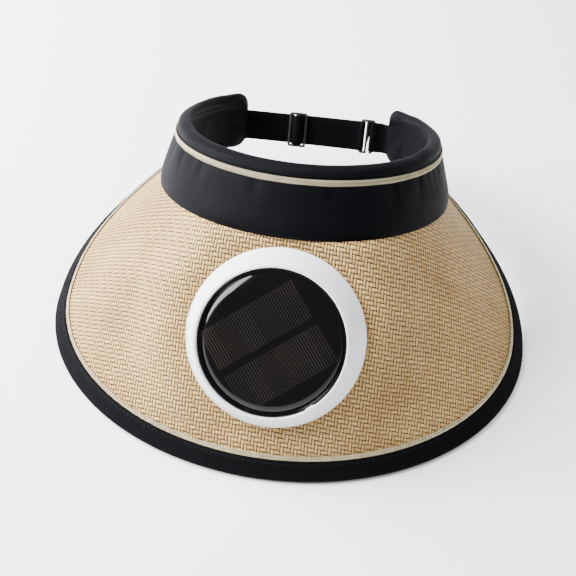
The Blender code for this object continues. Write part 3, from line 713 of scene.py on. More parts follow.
def woven(tree, place, across, along, roundness):
    """The woven threads' outputs at a place."""
    return put(tree, "ShaderNodeGroup", {"Place": place, "Across": across, "Along": along,
                                         "Roundness": roundness}, node_tree=WEAVE_GROUP).outputs


def grained(tree, pebble, drift):
    """The fine grain's outputs in the piece's own space."""
    return put(tree, "ShaderNodeGroup", {"Place": object_place(tree), "Pebble size": pebble,
                                         "Drift size": drift}, node_tree=GRAIN_GROUP).outputs


def set_shader(tree, shader, **sockets):
    """Feed the shader's sockets by name."""
    for key, value in sockets.items():
        feed(tree, shader.inputs[key.replace("_", " ")], value)


def new_finish(name, **sockets):
    """A material with its Principled shader, whose plain sockets are set by name."""
    made = bpy.data.materials.new(name)
    made.use_nodes = True
    shader = made.node_tree.nodes["Principled BSDF"]
    set_shader(made.node_tree, shader, **sockets)
    return made, made.node_tree, shader


def raise_surface(tree, shader, height, distance, strength=1.0):
    """Relief too fine for the mesh."""
    bump = put(tree, "ShaderNodeBump", {"Height": height, "Distance": distance,
                                        "Strength": strength})
    set_shader(tree, shader, Normal=bump.outputs[0])


# Finishes

def woven_straw():
    """Flat paper strands, two over and two under, with painted shade in the gaps and pits between
    them.
    """
    made, tree, shader = new_finish("Woven straw", Specular_IOR_Level=0.18)
    place = uv_place(tree, "strands")
    # hand-laid strands wander a little
    shift = move(tree, "SUBTRACT", {0: noise(tree, place, 90.0, 1.0)["Color"],
                                    1: (0.5, 0.5, 0.5)})
    shift = move(tree, "SCALE", {0: shift, "Scale": 1.0 * MM})
    weave = woven(tree, move(tree, "ADD", {0: place, 1: shift}),
                  STRAND_ACROSS, STRAND_ALONG, 3.2)
    # fibres run along whichever strand is on top
    fibre_place = put(tree, "ShaderNodeMix",
                      {0: weave["Upright on top"],
                       4: stretched(tree, place, (160.0, 2600.0, 1.0)),
                       5: stretched(tree, place, (2600.0, 160.0, 1.0))},
                      data_type="VECTOR").outputs[1]
    fibre = noise(tree, fibre_place, 1.0, 3.0)["Fac"]
    patch = noise(tree, place, 22.0, 3.0)["Fac"]
    strand = blend(tree, weave["Thread"], (0.33, 0.182, 0.056), (0.53, 0.330, 0.122))
    strand = blend(tree, spread(tree, fibre, 0.35, 0.7), strand, (0.62, 0.43, 0.18))
    strand = blend(tree, spread(tree, patch, 0.45, 0.75, 0.0, 0.45), strand,
                   (0.24, 0.115, 0.034))
    # painted shade: the gaps between strands and the pits where four strands meet are darkened in
    # the colour
    colour = blend(tree, calc(tree, "MULTIPLY", weave["Gap shade"], 0.88), strand,
                   (0.055, 0.024, 0.007))
    colour = blend(tree, weave["Pit"], colour, (0.006, 0.003, 0.001))
    set_shader(tree, shader, Base_Color=colour,
               Roughness=spread(tree, fibre, 0.3, 0.8, 0.48, 0.68))
    height = calc(tree, "MULTIPLY_ADD", fibre, 0.10, weave["Height"])
    height = calc(tree, "MULTIPLY_ADD", weave["Pit"], -0.5, height)
    raise_surface(tree, shader, height, 0.75 * MM)
    return made


def cloth(name, colour, light, across, along, depth, roughness, sheen):
    """Closely woven black cloth on the piece's own UV map."""
    made, tree, shader = new_finish(name, Sheen_Weight=sheen, Sheen_Roughness=0.4,
                                    Sheen_Tint=(0.55, 0.60, 0.75), Specular_IOR_Level=0.03)
    weave = woven(tree, uv_place(tree, "cloth"), across, along, 2.0)
    grain = grained(tree, 1.1 * MM, 22.0 * MM)
    tone = blend(tree, weave["Thread"], colour, light)
    tone = blend(tree, spread(tree, grain["Drift"], 0.40, 0.75, 0.0, 0.5), tone, light)
    # painted shade darkens the gaps between threads
    tone = blend(tree, calc(tree, "MULTIPLY", weave["Gap shade"], 0.7), tone, (0.002, 0.002, 0.003))
    set_shader(tree, shader, Base_Color=tone,
               Roughness=spread(tree, grain["Drift"], 0.3, 0.7, roughness - 0.06,
                                roughness + 0.08))
    height = calc(tree, "MULTIPLY_ADD", grain["Pebble"], 0.5, weave["Height"])
    raise_surface(tree, shader, height, depth)
    return made


def plaited_cord():
    """Cream cord with a fine twist; the strip under the strands, painted near black as shade, shows
    between them.
    """
    made, tree, shader = new_finish("Plaited cord", Specular_IOR_Level=0.15)
    tone = tone_of(tree)
    grain = grained(tree, 0.35 * MM, 20.0 * MM)
    cream = blend(tree, spread(tree, tone, 0.5, 1.0), (0.50, 0.41, 0.24), (0.80, 0.71, 0.50))
    cream = blend(tree, spread(tree, grain["Pebble"], 0.45, 0.75, 0.0, 0.5), cream,
                  (0.40, 0.31, 0.17))
    # tone below 0.2 is the strip under the strands, painted near black as the shade between them
    colour = blend(tree, spread(tree, tone, 0.2, 0.4), (0.016, 0.012, 0.005), cream)
    set_shader(tree, shader, Base_Color=colour,
               Roughness=spread(tree, grain["Drift"], 0.3, 0.7, 0.55, 0.72))
    raise_surface(tree, shader, grain["Pebble"], 0.10 * MM)
    return made


def sewing_thread():
    """Black thread, a touch lighter than the cloth."""
    made, tree, shader = new_finish("Black thread", Roughness=0.6, Specular_IOR_Level=0.12)
    grain = grained(tree, 0.2 * MM, 10.0 * MM)
    share = calc(tree, "MULTIPLY", tone_of(tree), grain["Pebble"])
    set_shader(tree, shader, Base_Color=blend(tree, share, (0.002, 0.002, 0.0025),
                                              (0.008, 0.008, 0.010)))
    raise_surface(tree, shader, grain["Pebble"], 0.05 * MM)
    return made


def moulded(name, colour, worn, roughness, coat):
    """Moulded plastic: a fine pebble, slow changes of gloss and a little handling."""
    made, tree, shader = new_finish(name, Coat_Weight=coat, Coat_Roughness=0.12)
    grain = grained(tree, 0.7 * MM, 18.0 * MM)
    set_shader(tree, shader,
               Base_Color=blend(tree, spread(tree, grain["Drift"], 0.42, 0.72), colour, worn),
               Roughness=spread(tree, grain["Drift"], 0.3, 0.7, roughness - 0.05,
                                roughness + 0.08))
    raise_surface(tree, shader, grain["Pebble"], 0.06 * MM, 0.6)
    return made


def solar_cells():
    """Dark cells in two rows with pale finger lines, under clear resin."""
    made, tree, shader = new_finish("Solar cells in resin", Coat_Weight=0.30, Coat_Roughness=0.04,
                                    Coat_IOR=1.4, Specular_IOR_Level=0.12)
    place = put(tree, "ShaderNodeMapping", {"Vector": uv_place(tree, "panel"),
                                            "Rotation": (0.0, 0.0, -CELL_TURN)}).outputs[0]
    parts = put(tree, "ShaderNodeSeparateXYZ", {0: place}).outputs
    long_way = calc(tree, "ADD", parts[0], 2.0 * MM)
    short_way = calc(tree, "ADD", parts[1], 0.8 * MM)
    finger = calc(tree, "FRACT", calc(tree, "DIVIDE", long_way, FINGER_PITCH))
    finger = calc(tree, "ABSOLUTE", calc(tree, "SUBTRACT", finger, 0.5))
    finger = spread(tree, finger, 0.12, 0.20, 1.0, 0.0, True)
    away = calc(tree, "ABSOLUTE", short_way)
    in_row = calc(tree, "MULTIPLY", calc(tree, "GREATER_THAN", away, ROWS_APART / 2),
                  calc(tree, "LESS_THAN", away, ROWS_REACH))
    ends = calc(tree, "LESS_THAN", calc(tree, "ABSOLUTE", long_way), ROWS_HALF_LENGTH)
    cells = calc(tree, "MULTIPLY", in_row, ends)
    # each row is cut into cells, and the fingers are fainter at the joints
    column = calc(tree, "DIVIDE", calc(tree, "ADD", long_way, 31.0 * MM), CELL_LENGTH)
    joint = calc(tree, "ABSOLUTE", calc(tree, "SUBTRACT", calc(tree, "FRACT", column), 0.5))
    joint = spread(tree, joint, 0.44, 0.48, 1.0, 0.30, True)
    number = calc(tree, "MULTIPLY_ADD", calc(tree, "SIGN", short_way), 17.0,
                  calc(tree, "FLOOR", column))
    drift = noise(tree, place, 38.0, 2.0)["Fac"]
    silicon = blend(tree, spread(tree, drift, 0.42, 0.66), (0.0012, 0.0009, 0.0010),
                    (0.0048, 0.0018, 0.0015))
    silver = blend(tree, random_number(tree, number), (0.0110, 0.0102, 0.0098),
                   (0.0165, 0.0155, 0.0148))
    lines = calc(tree, "MULTIPLY", calc(tree, "MULTIPLY", finger, cells), joint)
    colour = blend(tree, lines, blend(tree, cells, (0.0010, 0.0009, 0.0010), silicon), silver)
    set_shader(tree, shader, Base_Color=colour,
               Roughness=spread(tree, drift, 0.3, 0.7, 0.09, 0.16))
    raise_surface(tree, shader, noise(tree, place, 60.0, 1.0)["Fac"], 0.05 * MM)
    return made


def drawn_steel():
    """Bare metal with streaks round the motor's can."""
    made, tree, shader = new_finish("Drawn steel can", Metallic=1.0)
    place = stretched(tree, object_place(tree), (300.0, 2500.0, 2500.0))
    streak = noise(tree, place, 1.0, 2.0)["Fac"]
    set_shader(tree, shader,
               Base_Color=blend(tree, streak, (0.42, 0.42, 0.43), (0.66, 0.66, 0.67)),
               Roughness=spread(tree, streak, 0.3, 0.7, 0.26, 0.42))
    raise_surface(tree, shader, streak, 0.03 * MM)
    return made


STRAW = woven_straw()
BLACK_CLOTH = cloth("Black satin cloth", (0.0022, 0.0023, 0.0032), (0.0048, 0.0050, 0.0068),
                    0.42 * MM, 0.42 * MM, 0.04 * MM, 0.60, 0.004)
TAPE_CLOTH = cloth("Black bias tape", (0.0020, 0.0020, 0.0024), (0.0045, 0.0045, 0.0055),
                   0.50 * MM, 0.50 * MM, 0.07 * MM, 0.70, 0.0)
ELASTIC = cloth("Ribbed elastic", (0.0015, 0.0015, 0.0017), (0.0035, 0.0035, 0.0040),
                1.30 * MM, 0.80 * MM, 0.22 * MM, 0.78, 0.0)
CORD = plaited_cord()
THREAD = sewing_thread()
WHITE_PLASTIC = moulded("White moulded plastic", (0.86, 0.87, 0.93), (0.82, 0.83, 0.88), 0.30, 0.20)
BLACK_PLASTIC = moulded("Black moulded plastic", (0.010, 0.010, 0.011), (0.018, 0.018, 0.019),
                        0.50, 0.0)
CELLS = solar_cells()
STEEL = drawn_steel()


# The straw brim

def flat_pattern(shares):
    """The brim laid flat: places of its seam and edge points on the cloth it is cut from."""
    seam = [seam_point(share) for share in shares]
    edge = [edge_point(share) for share in shares]
    count = len(shares)
    middle = count // 2
    flat_seam, flat_edge = [None] * count, [None] * count
    flat_seam[middle] = np.array((0.0, FRONT_LENGTH / 2))
    flat_edge[middle] = np.array((0.0, -FRONT_LENGTH / 2))

    def meet(first, second, to_first, to_second, side):
        """The point at two distances from two points, on one side of their line."""
        span = float(np.hypot(*(second - first)))
        run = (to_first ** 2 - to_second ** 2 + span ** 2) / (2.0 * span)
        rise = math.sqrt(max(0.0, to_first ** 2 - run ** 2))
        way = (second - first) / span
        return first + way * run + side * rise * np.array((-way[1], way[0]))

    for side in (1, -1):
        for step in range(middle):
            here, there = middle + side * step, middle + side * (step + 1)
            flat_edge[there] = meet(flat_seam[here], flat_edge[here],
                                    (edge[there] - seam[here]).length,
                                    (edge[there] - edge[here]).length, side)
            flat_seam[there] = meet(flat_seam[here], flat_edge[there],
                                    (seam[there] - seam[here]).length,
                                    (seam[there] - edge[there]).length, side)
    return flat_seam, flat_edge


def straw_cover():
    """The straw as one cloth on an unrolled map, drilled for the drum."""
    shares = brim_shares()
    rows = 40
    flat_seam, flat_edge = flat_pattern(shares)
    points, flat = [], []
    for index, share in enumerate(shares):
        for row in range(rows + 1):
            along = row / rows
            points.append(brim_point(share, along) + HAT_SHIFT)
            u, v = flat_seam[index] + (flat_edge[index] - flat_seam[index]) * along
            flat.append((u, v + WEFT_SKEW * u + WEFT_BOW * u * u))
    faces = []
    for index in range(len(shares) - 1):
        for row in range(rows):
            here = index * (rows + 1) + row
            faces.append((here, here + 1, here + rows + 2, here + rows + 1))
    item = mesh_piece("straw_cover", points, faces)
    set_corners(item, "strands", [flat[corner] for face in faces for corner in face])
    applied(item, "SOLIDIFY", thickness=BRIM_WALL, offset=-1.0, use_even_offset=True)
    deselect()
    bpy.ops.mesh.primitive_cylinder_add(vertices=96, radius=DRUM_RADIUS + GAP, depth=20.0 * MM)
    drill = bpy.context.object
    drill.matrix_world = UNIT_ROW
    applied(item, "BOOLEAN", operation="DIFFERENCE", solver="EXACT", object=drill)
    bpy.data.objects.remove(drill)
    shaded(item, 50.0)
    return finished(item, "straw", STRAW, "straw_brim")


# Tape, stitches and plaits

def tape_section(room, reach):
    """Folded tape: (outwards, upwards) points round its section."""
    top = room + BINDING_WALL
    foot = -BRIM_WALL - room - BINDING_WALL
    upper = [(-reach, top - 0.45 * BINDING_WALL), (-reach + 0.35 * MM, top - 0.08 * MM),
             (-0.72 * reach, top), (-0.4 * reach, top), (-0.1 * reach, top)]
    nose = []
    for step in range(9):
        angle = math.pi / 2 - math.pi * step / 8
        nose.append((-0.55 * MM + (room + BINDING_WALL + 0.55 * MM) * math.cos(angle),
                     (top + foot) / 2 + (top - foot) / 2 * math.sin(angle)))
    lower = [(out, top + foot - rise) for out, rise in reversed(upper)]
    inside = [(out, -BRIM_WALL - room) for out in (-reach, -0.5 * reach, room)]
    inside += [(out, room) for out in (room, -0.5 * reach, -reach)]
    return upper + nose + lower + inside


def tape_ripple(length, out):
    """Small waves of the cloth along the tape, more towards its stitched edge."""
    wave = 0.10 * math.sin(length / (2.1 * MM)) + 0.06 * math.sin(length / (1.27 * MM) + 1.0)
    return wave * MM * min(1.0, max(0.0, -out / BINDING_WIDTH)) ** 0.5


def edge_tape():
    """Bias tape folded over the brim's edge, looser at the tails."""
    rings = []
    length, last = 0.0, None
    for share in brim_shares():
        edge, out, up, line = edge_frame(share)
        length += (edge - last).length if last else 0.0
        last = edge
        room = GAP * (1.0 + TAIL_SLACK * smooth((abs(share) - 0.88) / 0.08))
        ring = []
        for along, rise in tape_section(room, binding_reach(line)):
            lift = tape_ripple(length, along) if abs(rise + BRIM_WALL / 2) > 1.6 * MM else 0.0
            point = edge + out * along + up * (rise + lift * (1.0 if rise > 0 else -1.0))
            point.z = max(0.0, point.z)
            ring.append(point + HAT_SHIFT)
        rings.append(ring)
    item = loft("edge_tape", rings)
    shaded(item, 60.0)
    finished(item, "black_cloth", TAPE_CLOTH, "brim_binding")
    return item


def tape_line(side):
    """Where the tape's stitches run, on its upper or lower leg."""
    points, normals = [], []
    for share in brim_shares()[6:-6]:
        edge, out, up, line = edge_frame(share)
        reach = binding_reach(line)
        rise = GAP + BINDING_WALL if side > 0 else -BRIM_WALL - GAP - BINDING_WALL
        points.append(edge + out * (1.9 * MM - reach) + up * rise + HAT_SHIFT)
        normals.append(up * side)
    return Line(points, normals)


def stitch(length, radius):
    """One stitch: its ends dip into the cloth."""
    return bead([(-length / 2, 0.0, -1.2 * radius), (-0.30 * length, 0.0, 0.1 * radius),
                 (0.30 * length, 0.0, 0.1 * radius), (length / 2, 0.0, -1.2 * radius)],
                radius, 7, 6)


def tape_stitches():
    """A row of stitches on each leg of the tape."""
    for side, name in ((1, "tape_stitches_upper"), (-1, "tape_stitches_lower")):
        item = strewn(name, tape_line(side), [stitch(2.3 * MM, 0.19 * MM)], 3.1 * MM, 2.0 * MM)
        finished(item, "black_cloth", THREAD)


def plait(name, line, width, thick, fullness, pitch, node):
    """A flat plait on a strip painted dark as shade: two kinds of strand that lean towards each
    other.
    """
    rise = fullness * thick
    kinds = []
    for side in (1.0, -1.0):
        course = [(-0.17 * width, side * 0.47 * width, 0.35 * rise),
                  (-0.10 * width, side * 0.33 * width, 0.62 * rise),
                  (0.12 * width, side * 0.14 * width, 0.60 * rise),
                  (0.30 * width, side * -0.02 * width, 0.36 * rise)]
        kinds.append(bead(course, 0.25 * rise, 7, 6))
    item = strewn(name, line, kinds, pitch, 0.8 * MM, shade_core=(0.40 * width, 0.30 * thick))
    return finished(item, "cream_braid", CORD, node)


def edge_line():
    """The line beside the tape that the thin plait follows."""
    points, normals = [], []
    for share in brim_shares():
        length = (edge_point(share) - seam_point(share)).length
        near = binding_reach(length) + GAP
        middle = near + 0.5 * min(EDGE_BRAID_WIDTH, 0.25 * length)
        along = 1.0 - middle / length
        normal = brim_normal(share, along)
        points.append(brim_point(share, along) + normal * GAP * 0.5 + HAT_SHIFT)
        normals.append(normal)
    return Line(points, normals)


def band_line(last, steps, height, depth):
    """A line round the outside of the band, from one tab to the other."""
    points, normals = [], []
    for step in range(-steps, steps + 1):
        share = last * step / steps
        points.append(band_to_row(band_curve(share, height, depth)))
        normals.append(band_to_row(band_curve(share, height, depth - MM)) - points[-1])
    return Line(points, normals)


# The padded headband


def band_stations(length):
    """Shares along the band, closer together at its rounded ends."""
    ends = [TAB_CORNER * (1.0 - math.cos(0.5 * math.pi * step / 9)) for step in range(9)]
    ends[0] = 0.02 * TAB_CORNER
    inner = 1.0 - TAB_CORNER / length
    half = [inner * step / 84 for step in range(1, 85)] + [1.0 - end / length for end in
                                                          reversed(ends)]
    return [-share for share in reversed(half)] + [0.0] + half


def padded_band():
    """The headband as a pad, puffed a little between its seams."""
    length = band_length()
    table = [(height, wall * BAND_WALL + roll * ROLL_DEPTH, 0.0)
             for height, wall, roll in BAND_SECTION]
    section = rounded_line(table, 3, closed=True)
    rings, held = [], []
    for share in band_stations(length):
        to_end = (1.0 - abs(share)) * length
        rest = max(0.0, TAB_CORNER - to_end)
        pinch = TAB_CORNER - math.sqrt(TAB_CORNER ** 2 - rest ** 2)
        thin = min(1.0, to_end / (1.1 * TAB_CORNER))
        thin = 0.35 + 0.65 * math.sqrt(1.0 - (1.0 - thin) ** 2)
        ring = []
        for height, depth, _ in section:
            level = pinch + height * (BAND_HEIGHT - 2.0 * pinch)
            depth = BAND_WALL / 2 + (depth - BAND_WALL / 2) * thin
            ring.append(band_to_row(band_curve(share, level, depth)))
            seam = height < 0.03 or 0.70 < height < 0.80 or to_end < 0.15 * TAB_CORNER
            held.append(1.0 if seam else 0.0)
        rings.append(ring)
    item = loft("padded_band", rings)
    puff(item, held, 1.1 * MM)
    applied(item, "SUBSURF", levels=1, render_levels=1)
    shaded(item, 60.0)
    finished(item, "black_cloth", BLACK_CLOTH, "headband")
    return item


def puff(item, held, limit):
    """Fill the cloth with a little pressure, held along its seams, and keep the result."""
    rest = np.array([vertex.co[:] for vertex in item.data.vertices])
    seams = item.vertex_groups.new(name="seams")
    seams.add([i for i, weight in enumerate(held) if weight], 1.0, "REPLACE")
    step = item.modifiers.new("puff", "CLOTH")
    setting = step.settings
    setting.quality = 6
    setting.mass = 0.2
    setting.tension_stiffness = setting.compression_stiffness = 12.0
    setting.bending_stiffness = 0.05
    setting.shrink_min = -0.035
    setting.use_pressure = True
    setting.uniform_pressure_force = 1.6
    setting.vertex_group_mass = "seams"
    setting.effector_weights.gravity = 0.0
    frames = 16
    step.point_cache.frame_start = 1
    step.point_cache.frame_end = frames
    for number in range(1, frames + 1):
        bpy.context.scene.frame_set(number)
    take(item)
    bpy.ops.object.modifier_apply(modifier="puff")
    bpy.context.scene.frame_set(1)
    for vertex, before in zip(item.data.vertices, rest):
        move = vertex.co - Vector(before)
        if move.length > limit:
            vertex.co = Vector(before) + move * (limit / move.length)
    item.vertex_groups.clear()


def band_stitches():
    """The row of stitches under the roll, just above the plait."""
    line = band_line(STITCH_END, 120, STITCH_RISE, -0.10 * MM)
    item = strewn("band_stitches", line, [stitch(2.4 * MM, 0.22 * MM)], 3.6 * MM, 1.5 * MM)
    return finished(item, "black_cloth", THREAD)


# The elastic strap

def strap_line():
    """How far back the strap runs between the tabs."""
    return band_curve(1.0, STRAP_RISE, BAND_WALL / 2).y


def tucked_end(side, length, lead):
    """Route from inside a tab to its mouth and a little way out."""
    half, _, rear = band_axes(STRAP_RISE, BAND_WALL / 2)
    end = math.pi - math.asin(TAB_END / half)
    route = []
    for step in (1.0, 0.66, 0.33, 0.0):
        point = band_point(end - step * length / (0.5 * (half + rear)), STRAP_RISE, BAND_WALL / 2)
        route.append((side * point.x, point.y))
    last = Vector(route[-1])
    course = (last - Vector(route[-2])).normalized()
    route.append(tuple(last + course * 0.12 * lead))
    return route


def free_span(share):
    """A place across the strap's free span, from the left tab to the right."""
    return -TAB_END + 2.0 * TAB_END * share


def fold(centre_x, centre_y, radius, turns):
    """Half circle round a bar, from its back to its front, to the right."""
    route = []
    for step in range(turns + 1):
        angle = math.pi / 2 - math.pi * step / turns
        route.append((centre_x + radius * math.cos(angle), centre_y + radius * math.sin(angle)))
    return route


SLIDER_FIRST = SLIDER_THICK / 2 + STRAP_GAP + STRAP_THICK / 2
SLIDER_SECOND = SLIDER_FIRST + STRAP_GAP + STRAP_THICK
HOOK_LEVEL = (SLIDER_FIRST + SLIDER_SECOND) / 2
HOOK_ROUND = math.hypot(HOOK_BAR, HOOK_THICK) / 2 + STRAP_GAP + STRAP_THICK / 2


def left_route():
    """From the left tab, through the slider, round the hook and back to the slider."""
    line = strap_line()
    centre = free_span(SLIDER_PLACE)
    bar = SLIDER_BAR / 2
    slot = SLIDER_SLOT
    first, second = SLIDER_FIRST, SLIDER_SECOND
    inner = bar + STRAP_GAP + STRAP_THICK / 2
    post = free_span(HOOK_PLACE) - HOOK_BAR - HOOK_LEFT_SLOT
    lift = first + 1.5 * STRAP_SLACK
    under = second + STRAP_SLACK
    route = tucked_end(-1, STRAP_TUCK, TAB_CORNER)
    over = [(-bar - slot - 6.0 * bar, lift), (-bar - slot - 0.1 * bar, lift),
            (-bar - 0.78 * slot, 0.62 * lift), (-bar - 0.62 * slot, -0.12 * lift),
            (-bar - 0.34 * slot, -0.82 * second), (-0.9 * bar, -under),
            (0.9 * bar, -under), (bar + 0.27 * slot, -0.82 * second),
            (bar + 0.55 * slot, -0.25 * lift), (bar + 0.74 * slot, 0.62 * lift),
            (bar + slot, lift), (bar + slot + 4.0 * bar, lift)]
    route += [(centre + x, line + y) for x, y in over]
    route.append((post - 3.0 * HOOK_ROUND, line + lift - 2.0 * STRAP_SLACK))
    route += list(reversed(fold(post, line + HOOK_LEVEL, HOOK_ROUND, 8)))
    tail = second + STRAP_GAP
    route.append((post - 3.0 * HOOK_ROUND, line + tail + 3.0 * STRAP_SLACK))
    route += [(centre + bar + slot + 4.0 * bar, line + tail),
              (centre + bar + 0.85 * slot, line + tail),
              (centre + bar + 0.1 * slot, line + first + STRAP_SLACK)]
    for x, y in ((-0.35 * bar, first), (-0.6 * inner, 0.9 * first), (-inner, 0.45 * first),
                 (-inner, -0.45 * first), (-0.6 * inner, -0.9 * first), (0.2 * bar, -first)):
        route.append((centre + x, line + y))
    return route


def right_route():
    """Folded loop on the right tab, round the hook's open bar."""
    line = strap_line()
    post = free_span(HOOK_PLACE) + HOOK_BAR + HOOK_RIGHT_SLOT
    route = tucked_end(1, STRAP_TUCK, TAB_CORNER)
    route.append((post + 3.0 * HOOK_ROUND, line + HOOK_LEVEL - 0.5 * HOOK_ROUND))
    back = [(2.0 * post - x, y) for x, y in fold(post, line + HOOK_LEVEL, HOOK_ROUND, 8)]
    route += list(reversed(back))
    lap = STRAP_THICK + STRAP_GAP + 1.5 * STRAP_SLACK
    route.append((post + 3.0 * HOOK_ROUND, line + HOOK_LEVEL - 0.5 * HOOK_ROUND + lap))
    route.append((TAB_END - 2.5 * STRAP_THICK, line + lap + 2.5 * STRAP_SLACK))
    return route


def elastic(name, route, node):
    """Webbing with rounded edges that follows a route in the band's frame."""
    course = rounded_line([(x, y, 0.0) for x, y in route], 4)
    half, thick = STRAP_WIDTH / 2 + 0.8 * GAP, 0.46 * STRAP_THICK
    section = [(thick, share * half) for share in (-0.94, -0.6, -0.2, 0.2, 0.6, 0.94)]
    section += [(0.7 * thick, 0.99 * half), (-0.7 * thick, 0.99 * half)]
    section += [(-out, -rise) for out, rise in section]
    rings = []
    for index, here in enumerate(course):
        ahead = course[min(index + 1, len(course) - 1)] - course[max(index - 1, 0)]
        side = Vector((-ahead.y, ahead.x, 0.0)).normalized()
        rings.append([band_to_row(here + side * out + Vector((0.0, 0.0, STRAP_RISE + rise)))
                      for out, rise in section])
    item = loft(name, rings)
    shaded(item, 50.0)
    return finished(item, "black_elastic", ELASTIC, node)


# The fan unit

def ring_cover():
    """White ring: soft outer edge, hollow cone, and a thin lip round the panel."""
    bore = PANEL_RADIUS + GAP
    foot = GAP + 1.2 * MM
    ledge = RING_HEIGHT - PANEL_THICK - 2.0 * GAP - LIP_RISE
    lip = RING_HEIGHT
    rim = GAP + RIM_HEIGHT
    # millimetres out from the bore and below the lip, then in from the rim and above it
    crest = ((0.35, 0.02), (1.15, 0.0), (1.45, 0.14), (1.60, 0.62), (1.85, 0.80), (2.20, 0.84),
             (2.80, 1.35))
    skirt = ((1.3, 2.0), (0.75, 0.85), (0.25, 0.35), (0.0, -0.25))
    profile = [(bore + out * MM, lip - drop * MM) for out, drop in crest]
    profile += [(RING_RADIUS - inward * MM, rim + rise * MM) for inward, rise in skirt]
    profile += [
        (RING_RADIUS, GAP + 0.3 * MM),
        (RING_RADIUS - 0.3 * MM, GAP),
        (DRUM_RADIUS - DRUM_WALL, GAP),
        (DRUM_RADIUS - DRUM_WALL, foot),
        (RING_RADIUS - 1.6 * RING_WALL, foot),
        (bore + 0.6 * MM, ledge - 1.2 * MM),
        (bore - LEDGE_WIDTH, ledge - 1.2 * MM),
        (bore - LEDGE_WIDTH, ledge),
        (bore, ledge),
        (bore, lip - 0.35 * MM),
    ]
    item = turned("ring_cover", profile, 144)
    # the small notch in the lip where the panel was snapped in
    notch_angle, notch_half, notch_depth = -52.5, 2.6, 0.8 * MM
    for vertex in item.data.vertices:
        radius = math.hypot(vertex.co.x, vertex.co.y)
        away = abs(math.degrees(math.atan2(vertex.co.y, vertex.co.x)) - notch_angle)
        if away < notch_half and radius < bore + 1.0 * MM and vertex.co.z > lip - 0.6 * MM:
            vertex.co.x *= 1.0 - notch_depth / radius
            vertex.co.y *= 1.0 - notch_depth / radius
    lean_onto_unit(item)
    shaded(item, 40.0)
    return finished(item, "white_plastic", WHITE_PLASTIC, "fan_bezel")


def panel_cover():
    """Black tray with a bead round its edge, filled with a dome of clear resin."""
    foot = RING_HEIGHT - PANEL_THICK - GAP - LIP_RISE
    top = foot + PANEL_THICK
    # millimetres in from the edge and above the tray's top
    dome = ((0.35, -0.10), (0.95, -0.05), (1.35, -0.40), (1.65, -0.85), (1.95, -0.90),
            (2.25, -0.72), (2.90, -0.14), (3.80, 0.54), (4.90, 1.20), (6.20, 1.76),
            (7.60, 2.10), (9.20, 2.28), (12.0, 2.38), (18.0, 2.44), (30.0, 2.46))
    profile = [(PANEL_RADIUS - 1.0 * MM, foot), (PANEL_RADIUS, foot + 0.3 * MM),
               (PANEL_RADIUS, top - 0.55 * MM)]
    profile += [(PANEL_RADIUS - inward * MM, top + rise * MM) for inward, rise in dome]
    profile.append((2.0 * MM, profile[-1][1]))
    item = turned("panel_cover", profile, 144, closed_ring=False)
    with editing(item, "DESELECT"):
        bpy.ops.mesh.select_non_manifold()
        bpy.ops.mesh.edge_face_add()
    corners = [item.data.vertices[loop.vertex_index].co.xy[:] for loop in item.data.loops]
    set_corners(item, "panel", corners)
    lean_onto_unit(item)
    shaded(item, 60.0)
    return finished(item, "panel_gloss", CELLS, "solar_panel")


def grille():
    """Rings and spokes that close the drum, round the motor's seat."""
    top = -BRIM_WALL - GAP - DRUM_DEPTH - GAP
    foot = top - GUARD_THICK
    seat = MOTOR_RADIUS + GUARD_BAR
    rim = DRUM_RADIUS - 2.0 * DRUM_WALL
    pitch = (rim - seat) / GUARD_RINGS
    edge = 0.25 * MM
    bore = 0.04 * seat
    walls = [(rim, DRUM_RADIUS)]
    for ring in range(1, GUARD_RINGS):
        walls.append((seat + ring * pitch - GUARD_BAR / 2, seat + ring * pitch + GUARD_BAR / 2))
    parts = []
    for inner, outer in walls:
        profile = ((inner + edge, top), (outer - edge, top), (outer, top - edge),
                   (outer, foot + edge), (outer - edge, foot), (inner + edge, foot),
                   (inner, foot + edge), (inner, top - edge))
        parts.append(turned("grille_ring", profile, 96))
    plate = ((bore, top), (seat - edge, top), (seat, top - edge), (seat, foot + edge),
             (seat - edge, foot), (0.5 * seat, foot), (bore, foot))
    parts.append(turned("motor_seat", plate, 72))
    for number in range(GUARD_SPOKES):
        deselect()
        bpy.ops.mesh.primitive_cube_add(size=1.0)
        spoke = bpy.context.object
        spoke.dimensions = (rim - seat + 1.0 * MM, GUARD_BAR, GUARD_THICK - 0.1 * MM)
        spoke.location = ((rim + seat) / 2, 0.0, (top + foot) / 2)
        bpy.ops.object.transform_apply(location=True, rotation=False, scale=True)
        applied(spoke, "BEVEL", width=edge, segments=2)
        spoke.data.transform(Matrix.Rotation(2.0 * math.pi * number / GUARD_SPOKES, 4, "Z"))
        parts.append(spoke)
    take(parts[0])
    for part in parts:
        part.select_set(True)
    bpy.ops.object.join()
    item = bpy.context.object
    item.name = item.data.name = "grille_cover"
    item.data.transform(UNIT_ROW)
    shaded(item, 40.0)
    return item


def fan_parts():
    """The fan under the brim, with the edges of its drum and grille eased."""
    drum = rounded_copy("fan_housing", "drum_cover", 0.25 * MM)
    finished(drum, "white_plastic", WHITE_PLASTIC, "fan_housing")
    finished(grille(), "white_plastic", WHITE_PLASTIC, "fan_guard")
    for node, finish in (("fan_motor", STEEL), ("fan_rotor", BLACK_PLASTIC)):
        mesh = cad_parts[node].data
        mesh.materials.clear()
        mesh.materials.append(finish)


def strap_fittings():
    """Slider and hook with soft edges."""
    for node, name, width in (("strap_slider", "slider_cover", 0.30 * MM),
                              ("strap_hook", "hook_cover", 0.40 * MM)):
        finished(rounded_copy(node, name, width, 3), "black_plastic", BLACK_PLASTIC, node)


# Light, floor and camera

